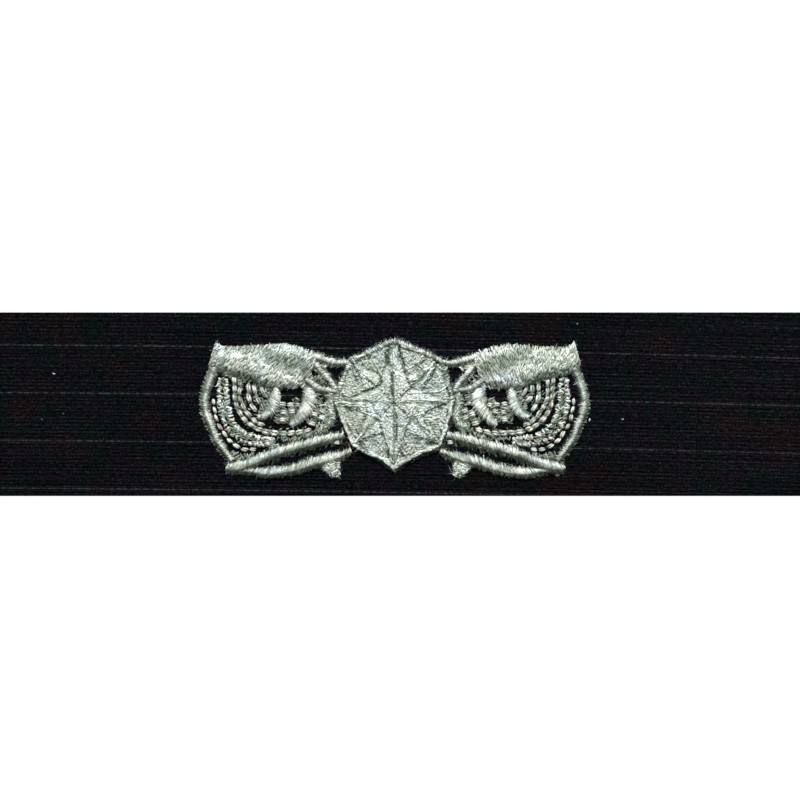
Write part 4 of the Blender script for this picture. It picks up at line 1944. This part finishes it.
@dataclass
class Strays:
    """Loose fibres round the embroidery, and specks of lint on the cloth."""

    finishes: Finishes  # The thread materials
    per_mm: float = 12.0  # Fibres for each millimetre of a pad's edge
    reach: float = 0.6  # Longest reach of a fibre over the cloth
    shortest: float = 0.12  # Shortest reach
    reach_power: float = 1.3  # Power of the even random number that sets a fibre's reach between them
    flank: float = 0.07  # Share of the way across a pad, from the nearer edge, at which a fibre starts
    bury: float = 0.1  # Depth in the pad at which it starts
    clearance: Span = (0.04, 0.12)  # Height over the cloth to which it sinks, and how much higher it may stay
    aim: float = 0.9  # Usual slope of a fibre off the way straight out
    curl: float = 0.35  # Usual growth of that slope along the fibre
    fall_power: float = 1.5  # Power of the share still to go by which its height falls
    thread: Thread = Thread(0.014, 0.014, tone=0.6, tone_spread=0.2, warm=0.2, taper=0.6)  # The fibre itself
    # A thicker fibre, for the fuzz over the pads
    down: Thread = Thread(0.028, 0.02, tone=0.8, tone_spread=0.2, warm=0.1, taper=0.6)
    down_length: Span = (0.3, 1.0)  # Shortest and longest fibre of the fuzz
    down_curl: float = 0.5  # Usual bend of such a fibre
    down_places: Span = (0.02, 0.98)  # Shares of the way across a pad between which it starts
    # Height of its start over the pad, of its arch, and by which it falls
    down_heights: tuple[float, float, float] = (0.05, 0.06, 0.12)
    # A thread of lint
    crumb: Thread = Thread(0.16, 0.1, tone=1.1, tone_spread=0.1, warm=0.3, taper=0.7)
    crumb_bend: float = 0.3  # Bend of such a thread
    crumb_lift: float = 0.06  # Height of its middle over the cloth

    def fibres(self, name: str, patches: list[DomedPatch]) -> None:
        """Lets short fibres stand out of the edges of a group of pads.

        A fibre starts on the flank of a pad. At share t of its way it is t * length out and turned aside by
        (aim + curl * t) times that, and its height over where it ends is (1 - t)^1.5 of what it is at first.

        Args:
            name: Name of the piece.
            patches: Surfaces of the pads.
        """
        rng = dice(name)
        t = np.linspace(0, 1, FIBRE_STATIONS)
        lines = []
        for patch in patches:
            count = round(patch.length * self.per_mm * 2)
            u = rng.random(count)
            right = rng.random(count) < 0.5
            start = patch.at(u, np.where(right, 1 - self.flank, self.flank))
            out = unit(start[:, :2] - patch.at(u, 0.5)[:, :2])
            length = self.reach * rng.random(count) ** self.reach_power + self.shortest
            aim = rng.normal(0, self.aim, (count, 1, 1))
            curl = rng.normal(0, self.curl, (count, 1, 1))
            along = t[:, None] * length[:, None, None]
            bend = along * (aim + curl * t[:, None])
            flat = start[:, None, :2] + out[:, None] * along + square_to(out)[:, None] * bend
            fall = (start[:, 2:] - STRIP_TOP - self.bury) * (1 - t) ** self.fall_power
            low, rise = self.clearance
            lines.append(lifted(flat, STRIP_TOP + low + fall + rng.uniform(0, rise, (count, 1))))
        add_piece(name, self.thread.mesh(np.concatenate(lines), rng), self.finishes, Slot.SATIN)

    def fuzz(
        self, name: str, patches: list[DomedPatch], per_mm2: float, relief: Relief | None = None
    ) -> None:
        """Scatters short curved fibres over the faces of pads.

        A fibre of length l that starts at place p runs along p + l * (t * way + t^2 * curl * square), where
        square is square to its way. It arches over the stitches by a half sine, and falls with t.

        Args:
            name: Name of the piece.
            patches: Surfaces of the pads.
            per_mm2: Fibres for each square millimetre.
            relief: The relief that the fibres follow, if any.
        """
        rng = dice(name)
        t = np.linspace(0, 1, FIBRE_STATIONS)
        lift, arch, fall = self.down_heights
        lines = []
        for patch in patches:
            count = round(patch.length * float(patch.width(patch.share).mean()) * per_mm2)
            start = patch.at(rng.random(count), rng.uniform(*self.down_places, count))
            way = heading(rng.uniform(0, 2 * np.pi, count))
            length = rng.uniform(*self.down_length, (count, 1, 1))
            bend = square_to(way)[:, None] * t[:, None] ** 2 * rng.normal(0, self.down_curl, (count, 1, 1))
            flat = start[:, None, :2] + length * (way[:, None] * t[:, None] + bend)
            lines.append(lifted(flat, start[:, 2:] + lift + arch * np.sin(np.pi * t) - fall * t))
        part = self.down.mesh(np.concatenate(lines), rng)
        if relief:
            relief.press(part)
        add_piece(name, part, self.finishes, Slot.SATIN)

    def lint(self) -> None:
        """Drops the specks of lint: short curved crumbs of thread that lie on the cloth.

        A crumb of size s runs from -s / 2 to s / 2 along its way, and bends by crumb_bend * s * t^2.
        """
        rng = dice("lint")
        table = np.array(LINT)
        t = np.linspace(-0.5, 0.5, FILL_STATIONS)[:, None]
        way = heading(rng.uniform(0, np.pi, len(table)))[:, None]
        flat = table[:, None, :2] + (way * t + [0.0, self.crumb_bend] * t**2) * table[:, None, 2:3]
        part = self.crumb.mesh(lifted(flat, STRIP_TOP + self.crumb_lift), rng, fade=table[:, 3:])
        add_piece("lint_specks", part, self.finishes, Slot.SATIN)


def note_sizes() -> None:
    """Writes the CAD box and the box of the dressed model for comparison."""
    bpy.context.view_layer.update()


def main() -> None:
    """Sets the camera, builds the badge piece by piece and lights it."""
    logging.basicConfig(level=logging.INFO, format="%(name)s: %(message)s")
    studio = Studio()
    studio.camera()
    finishes = {slot: thread.material() for slot, thread in THREADS.items()}
    ClothStrip().build()
    strays = Strays(finishes)
    rose = Rose(finishes)
    strays.fibres("rose_fibres", rose.build())
    strays.fuzz("rose_fuzz", rose.faces(), ROSE_FUZZ, rose.relief)
    for side in Side:
        wing = Wing(side, finishes)
        patches = wing.build()
        strays.fibres(wing.named("fibres"), patches)
        strays.fuzz(wing.named("fuzz"), patches, PAD_FUZZ)
    strays.lint()
    studio.floor()
    studio.lights()
    note_sizes()


if __name__ == "__main__":
    main()
